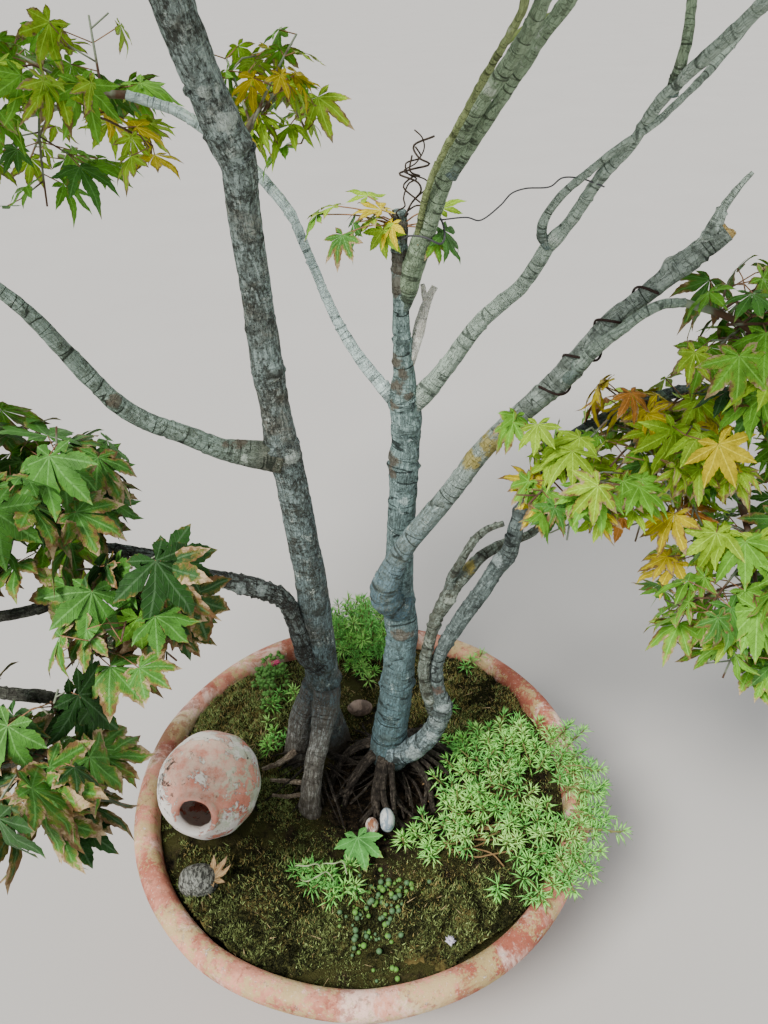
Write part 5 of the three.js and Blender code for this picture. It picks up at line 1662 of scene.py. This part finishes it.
class Leaf:
    """A leaf's outline in its own plane, its length along +X being 1, as triangles. Each
    point has three values: 1 at the margin and 0 on a midrib, how far it is across its lobe,
    and how far out it is along it."""

    # Each lobe's angle and length; the gap to the next and how far out the notch is.
    LOBES = [(0, 1.0), (38, 0.92), (-38, 0.92), (80, 0.74), (-80, 0.74), (124, 0.4), (-124, 0.4)]
    NOTCHES = [(19, 0.43), (21, 0.38), (22, 0.27), (29, 0.1)]
    # Along a lobe's margin: how far out a tooth or notch is, and its share of the width.
    TEETH = [(0.54, 1.0), (0.58, 0.86), (0.68, 0.88), (0.72, 0.66), (0.82, 0.56), (0.86, 0.34)]
    RIBS = (0.45, 0.72)
    SECOND_RIB_AT = 3

    def __init__(self, width):
        self.flat, self.values, self.triangles = [(0.0, 0.0)], [(0.0, 0.0, 0.0)], []
        self.lobe = [0]
        for index, (angle, length) in enumerate(self.LOBES):
            along = heading(math.radians(angle))[:2]
            across = np.array([-along[1], along[0]])
            wide = width * (0.35 + 0.65 * length)
            step = (index + 1) // 2

            def spot(u, v, value):
                self.flat.append(tuple(along * u + across * v))
                self.values.append(value)
                self.lobe.append(index)
                return len(self.flat) - 1

            tip = spot(length, 0.0, (1.0, 0.0, 1.0))
            ribs = [spot(u * length, 0.0, (0.0, 0.0, u)) for u in self.RIBS]
            for hand in (1, -1):
                outer = (hand > 0) == (angle > 0) or angle == 0
                gap, depth = self.NOTCHES[min(3, step if outer else step - 1)]
                turn = math.radians(gap)
                notch = (depth * math.cos(turn), hand * depth * math.sin(turn))
                edge = [spot(*notch, (1.0, 1.0, 0.4))]
                edge += [spot(u * length, hand * v * wide, (1.0, v, u)) for u, v in self.TEETH]
                self.fan([*edge, tip], ribs, hand)
        self.flat, self.lobe = np.array(self.flat), np.array(self.lobe)
        self.values, self.triangles = np.array(self.values), np.array(self.triangles)

    def fan(self, edge, ribs, hand):
        """The half of a lobe between its midrib and one margin."""
        turn = -1 if hand > 0 else 1
        inner = ribs[0]
        self.triangles.append((0, edge[0], inner)[::turn])
        for k in range(len(edge) - 1):
            if k == self.SECOND_RIB_AT:
                self.triangles.append((inner, edge[k], ribs[1])[::turn])
                inner = ribs[1]
            self.triangles.append((inner, edge[k], edge[k + 1])[::turn])

    def place(self, placed):
        """Every placed leaf's points: drooping from the palm, folded along its midribs."""
        out = np.linalg.norm(self.flat, axis=1)
        rib = self.values[:, 1]
        result = np.empty((len(placed), len(self.flat), 3))
        for k, (base, axis, normal, length, (droop, fold, phase)) in enumerate(placed):
            side = np.cross(normal, axis)
            own = 1 + 0.6 * np.sin(12.0 * phase + 2.4 * self.lobe)
            twist = 0.06 * np.sin(9 * out + 20 * phase + 1.3 * self.lobe)
            height = -droop * own * out**2 + fold * 0.14 * rib * (1 - out) + twist * out
            shrink = 1 - 0.12 * droop * out
            x, y = self.flat[:, 0] * shrink, self.flat[:, 1] * shrink * (0.92 + 0.14 * phase)
            result[k] = base + length * (
                x[:, None] * axis + y[:, None] * side + height[:, None] * normal
            )
        return result.reshape(-1, 3)

    def dress(self, name, placed, shader, slot):
        """All placed leaves of one look as one dressed piece."""
        offsets = np.arange(len(placed)) * len(self.flat)
        triangles = (self.triangles[None] + offsets[:, None, None]).reshape(-1, 3)
        values = {"leaf": np.tile(self.values, (len(placed), 1))}
        dress(make_piece(name, self.place(placed), triangles, [shader], values=values), slot)


def upper_side(axis):
    """The normal of a leaf along that axis whose upper side looks straight up."""
    return unit(np.cross(axis, np.cross(UP, axis)))


def twig_end(centre, reach, index, count, length, rng):
    """Where a twig of a mass ends: the ends wind round its space from top to bottom."""
    height = HEIGHT_USED * (1 - (2 * index + 1) / count)
    room = math.sqrt(1 - height * height) - 0.5 * length / reach[0]
    ring = max(0.12, room) * (0.62 + 0.36 * rng.random())
    turn = index * GOLDEN_ANGLE + 0.6 * rng.random()
    offset = np.array([ring * math.cos(turn), ring * math.sin(turn), height])
    return centre + offset * reach


def twig_shader():
    """Young bark, red-brown in some places and grey-green in others."""
    shader = Shader("twig_bark", roughness=0.7, specular=0.2)
    young = shader.spots(0.44, 0.56, shader.place(), 22.0, 4.0, 0.6)
    shader.paint(young, (0.13, 0.07, 0.045), (0.26, 0.3, 0.22))
    return shader


class Foliage:
    """All twigs, stalks and leaves, grown mass by mass inside their spaces."""

    def __init__(self):
        self.limb_spots, self.limb_radii = limb_samples()
        self.twigs, self.stalks = Batch(), Batch()
        self.leaves = {}
        self.name = self.rng = None
        self.spaces = {name: (mm(*mass[2]), mm(*mass[3])) for name, mass in MASSES.items()}

    def inside(self, spot):
        """Whether a spot is in the growing mass's space, and nearest to that one's middle."""
        centre, reach = self.spaces[self.name]
        own = np.linalg.norm((spot - centre) / reach)
        if own > 0.98 or spot[2] > centre[2] + HIGHEST * reach[2]:
            return False
        return all(
            other == self.name or np.linalg.norm((spot - c) / r) > own
            for other, (c, r) in self.spaces.items()
        )

    def clear(self, spot, room):
        """Whether no limb comes nearer to a spot than that."""
        away = np.linalg.norm(self.limb_spots - spot, axis=1) - self.limb_radii
        return away.min() > room

    def twig(self, path, wide, thin):
        """A twig that tapers along its path."""
        last = len(path) - 1
        stations = [(*spot, wide + (thin - wide) * k / last) for k, spot in enumerate(path)]
        self.twigs.tube(stations, 5, 0.02)

    def hang(self, kind, leaf):
        """Keeps a leaf for the piece of its kind."""
        self.leaves.setdefault(kind, []).append(leaf)

    def leaf(self, node, outward, spray):
        """A stalk and its leaf from a twig's node, unless it would leave the mass's space."""
        rng = self.rng
        if rng.random() > LEAF_CHANCE:
            return
        palette, size = MASSES[self.name][-2:]
        size *= MM
        tints, burnt = spray
        for _ in range(LEAF_TRIES):
            facing = unit(outward + np.array([rng.gauss(0, 0.35), rng.gauss(0, 0.35), 0.0]))
            stalk = STALK_LENGTH * (0.6 + 0.8 * rng.random()) * size / 0.05
            lift = 0.35 * rng.random() - 0.1
            base = node + unit(facing + UP * lift) * stalk
            flat = unit(np.array([facing[0], facing[1], 0.0]) + 1e-6)
            pitch = math.radians(min(78, max(2, rng.gauss(32, 22))))
            axis = unit(flat * math.cos(pitch) - UP * math.sin(pitch))
            length = size * rng.uniform(0.62, 1.14)
            if not (self.inside(base) and self.inside(base + axis * length)):
                continue
            if not self.clear(base + axis * length * 0.5, length * 0.3):
                continue
            normal = upper_side(axis)
            roll = rng.gauss(0, 0.45)
            normal = unit(round_about(roll, normal, np.cross(normal, axis)))
            kind = (rng.choice(tints), rng.random() < burnt, palette == "low")
            shape = (rng.uniform(0.15, 0.6), rng.uniform(-0.3, 0.25), rng.random())
            self.hang(kind, (base, axis, normal, length, shape))
            middle = (node + base) / 2 + UP * 0.003
            self.stalks.tube([(*node, 0.0014), (*middle, 0.001), (*base, 0.0011)], 3, 0.02)
            return

    def along(self, path, spray, first):
        """Leaves in pairs at a twig's nodes, and one at its end."""
        dense, _, at = spline([(*spot, 1.0) for spot in path], NODE_GAP)
        tangents = np.gradient(dense, axis=0)
        for k, node in enumerate(dense):
            if at[k] < first * at[-1]:
                continue
            tangent = unit(tangents[k])
            across = unit(np.cross(tangent, UP))
            if k == len(dense) - 1:
                self.leaf(node, tangent, spray)
            for hand in (-1, 1):
                self.leaf(node, unit(tangent * 0.55 + across * hand), spray)

    def sprig(self, start, leaves):
        """A spray's few leaves, each on its own long stalk."""
        rng = self.rng
        for x, y, z, turn, pitch, length, tint in leaves:
            base, pitch = mm(x, y, z), math.radians(pitch)
            axis = heading(math.radians(turn)) * math.cos(pitch) - UP * math.sin(pitch)
            shape = (rng.uniform(0.15, 0.6), rng.uniform(-0.3, 0.2), rng.random())
            kind = (tint, rng.random() < 0.5, False)
            self.hang(kind, (base, axis, upper_side(axis), length * MM, shape))
            middle = (start + base) / 2 + UP * 0.004
            self.stalks.tube([(*start, 0.0016), (*middle, 0.0012), (*base, 0.001)], 4, 0.008)

    def fork(self, path, span, hand, spray):
        """A side twig to the left or right, where the mass's space has room for it."""
        way = unit(path[-1] - path[0])
        across = unit(np.cross(way, UP))
        start = path[1] if hand < 0 else path[2]
        tip = start + unit(way * 0.7 + across * hand) * (span * self.rng.uniform(0.25, 0.42))
        if not self.inside(tip):
            return
        side_path = [start, (start + tip) / 2 + UP * 0.004, tip]
        self.twig(side_path, *SIDE_TWIG)
        self.along(side_path, spray, 0.45)

    def grow(self, name):
        """A sprig, or a mass: its stem, its twigs, their side twigs and all their leaves."""
        start, width, _, _, twigs, palette, size = MASSES[name]
        tints, burnt = SPRAYS[palette]
        start, (centre, reach) = mm(*start), self.spaces[name]
        self.name, self.rng = name, random.Random(name)
        if name in SPRIGS:
            self.sprig(start, SPRIGS[name])
            return
        rng = self.rng
        beyond = centre + (centre - start) * 0.3
        bend = (start + centre) / 2 + np.array([0, 0, 0.006])
        wide = width * MM
        stem = [(*start, wide), (*bend, wide * 0.8), (*centre, wide * 0.5), (*beyond, 0.002)]
        self.twigs.tube(stem, 8, 0.01)
        for i in range(twigs):
            end = twig_end(centre, reach, i, twigs, size * MM, rng)
            share = 0.25 + 0.9 * (i + rng.random()) / twigs
            root = start + (centre - start) * min(share, 1.2)
            span = np.linalg.norm(end - root)
            sag = UP * span * rng.uniform(-0.02, 0.14)
            path = [root, root * 0.62 + end * 0.38 + sag, root * 0.2 + end * 0.8 + sag * 0.6, end]
            spray = (spray_tints(rng, rng.choice(tints)), burnt * rng.uniform(0.5, 1.5))
            self.twig(path, *TWIG)
            self.along(path, spray, 0.3)
            for hand in (-1, 1):
                self.fork(path, span, hand, spray)


def spray_tints(rng, tint):
    """What a spray's leaves choose from: mostly its own tint, and one of those beside it."""
    order = list(TINTS)
    step = order.index(tint) + rng.choice((-1, 1))
    beside = order[min(len(order) - 1, max(0, step))]
    return [tint] * 9 + [beside] * round(9 * STRAY * 2)


def leaf_shader(name, tone, burnt=False, broad=False):
    """A leaf's plain tint with pale ribs, side veins, mottling and a withered margin."""
    shader = Shader(name, roughness=0.5, specular=0.13)
    place, value = shader.place(), shader.attribute("leaf")
    edge, across, out = (shader.part(value, axis) for axis in range(3))
    mottle = shader.noise(place, 60.0, 4.0, 0.65)
    pale = tuple(min(1.0, 1.25 * c) for c in tone)
    shader.paint(shader.step(mottle, 0.3, 0.7), times(tone, 0.6), pale)
    chevrons = shader.times(across, -9.0, shader.times(out, 46.0))
    veins = shader.step(shader.calc("SINE", chevrons), 0.8, 1.0)
    vein = tuple(min(1.0, 1.5 * c + 0.05) for c in tone)
    shader.lay(veins, 0.35, vein)
    shader.lay(shader.step(across, 0.13, 0.04), 0.75, vein)
    ragged = shader.times(shader.noise(place, 85.0, 4.0, 0.7), 1.7, -0.85)
    reach = shader.times(out, 0.35, shader.times(edge, 0.55))
    withered = shader.calc("ADD", reach, ragged)
    low, high = WITHERED[burnt, burnt and broad]
    brown = shader.mix(shader.step(mottle, 0.42, 0.6), *BURNS)
    rust = tuple(0.5 * (a + b) for a, b in zip(tone, RUST))
    shader.lay(shader.step(withered, low - 0.22, high - 0.1), 0.5, rust)
    shader.lay(shader.step(withered, low, high), 0.9, brown)
    shader.bump(veins, 0.0004)
    shader.bump(shader.noise(place, 420.0, 3.0, 0.6), 0.0007)
    return shader


# How far out a leaf withers, by whether it is burnt and broad, and how wide its lobes are.
WITHERED = {(False, False): (0.98, 1.1), (True, False): (0.6, 0.74), (True, True): (0.56, 0.7)}
SLIM, BROAD = 0.15, 0.195
LEAF_SLOTS = {"deep": "leaf_dark", "green": "leaf_green", "fresh": "leaf_green"}

# Two leaves by themselves: the place, the direction and the length.
DRY_LEAF = ((-160, -130, 214), (0.6, 0.75, 0.1), 24)
SEEDLING = ((-4, -86, 213), (0.25, -0.95, -0.12), 40)


def make_foliage():
    """Every mass, then its leaves in one piece for each tint, edge and width."""
    growth = Foliage()
    for name in MASSES:
        growth.grow(name)
    for (tint, burnt, broad), placed in sorted(growth.leaves.items()):
        name = "_".join(["leaves", tint, *["burnt"] * burnt, *["broad"] * broad])
        shader = leaf_shader(name, TINTS[tint], burnt, broad)
        leaf = Leaf(BROAD if broad else SLIM)
        leaf.dress(name, placed, shader, LEAF_SLOTS.get(tint, "leaf_yellow"))
    make_single_leaves()
    growth.twigs.dress("twigs", [twig_shader()], "bark_dark", *MASSES)
    stalk = plain("leaf_stalk", (0.45, 0.24, 0.13), 0.5)
    growth.stalks.dress("leaf_stalks", [stalk], "leaf_green")


def make_single_leaves():
    """The seedling's leaf, and a dry leaf scrap that lies curled on the soil."""
    spot, axis, length = SEEDLING
    axis = unit(np.array(axis))
    placed = [(mm(*spot), axis, upper_side(axis), length * MM, (0.1, 0.1, 0.5))]
    Leaf(BROAD).dress("seedling", placed, leaf_shader("seedling", (0.1, 0.34, 0.07)), "leaf_green")
    spot, axis, length = DRY_LEAF
    placed = [(mm(*spot), unit(np.array(axis)), UP, length * MM, (-0.5, 0.9, 0.8))]
    shader = leaf_shader("dry_leaf", (0.42, 0.28, 0.14), True)
    Leaf(SLIM).dress("dry_leaf", placed, shader, "leaf_yellow")


# The studio: how far its floor reaches in metres, and the way towards the sun.
FLOOR_SIZE = 150.0
SUN_FROM = (-1.1, -1.15, 2.1)


def make_sky():
    """Even soft light from a pale sky."""
    world = bpy.data.worlds.new("studio")
    world.use_nodes = True
    sky = world.node_tree.nodes["Background"]
    sky.inputs["Color"].default_value = (0.92, 0.96, 1.0, 1.0)
    sky.inputs["Strength"].default_value = 0.86
    bpy.context.scene.world = world


def make_sun():
    """A broad key light."""
    data = bpy.data.lights.new("key", "SUN")
    data.energy = 5.2
    data.angle = math.radians(20)
    data.color = (1.0, 0.97, 0.9)
    key = add_object("key", data)
    key.rotation_euler = Vector(SUN_FROM).to_track_quat("Z", "Y").to_euler()


def floor_shader():
    """A pale tone with a slight mottle."""
    shader = Shader("floor", roughness=0.9, specular=0.1)
    mottle = shader.noise(shader.place(), 2.0, 2.0)
    shader.paint(mottle, (0.45, 0.435, 0.42), (0.49, 0.475, 0.46))
    return shader


def make_floor():
    """A wide floor just under the bowl."""
    size = FLOOR_SIZE
    points = [(-size, -size, 0), (size, -size, 0), (size, size, 0), (-size, size, 0)]
    triangles = [(0, 1, 2), (0, 2, 3)]
    floor = make_piece("floor", points, triangles, [floor_shader()], smooth=False)
    floor.location.z = -0.0005


def make_camera():
    """The photograph's camera."""
    data = bpy.data.cameras.new("camera")
    data.sensor_width = 36.0
    data.lens = CAMERA_LENS
    data.clip_start = 0.02
    data.clip_end = 600.0
    forward = Vector((0.0, math.cos(CAMERA_PITCH), -math.sin(CAMERA_PITCH)))
    level = Vector((1.0, 0.0, 0.0))
    rise = level.cross(forward)
    right = math.cos(CAMERA_ROLL) * level + math.sin(CAMERA_ROLL) * rise
    up = -math.sin(CAMERA_ROLL) * level + math.cos(CAMERA_ROLL) * rise
    turn = Matrix((right, up, -forward)).transposed().to_4x4()
    camera = add_object("camera", data)
    camera.matrix_world = Matrix.Translation(CAMERA_SPOT) @ turn
    bpy.context.scene.camera = camera


make_camera()
make_sky()
make_sun()
make_floor()
make_pot()
make_ground()
make_moss_tufts()
make_stonecrop()
make_small_plants()
make_jar()
make_stones()
make_rootlets(make_limbs()["root"])
make_strands()
make_foliage()

bpy.context.view_layer.update()
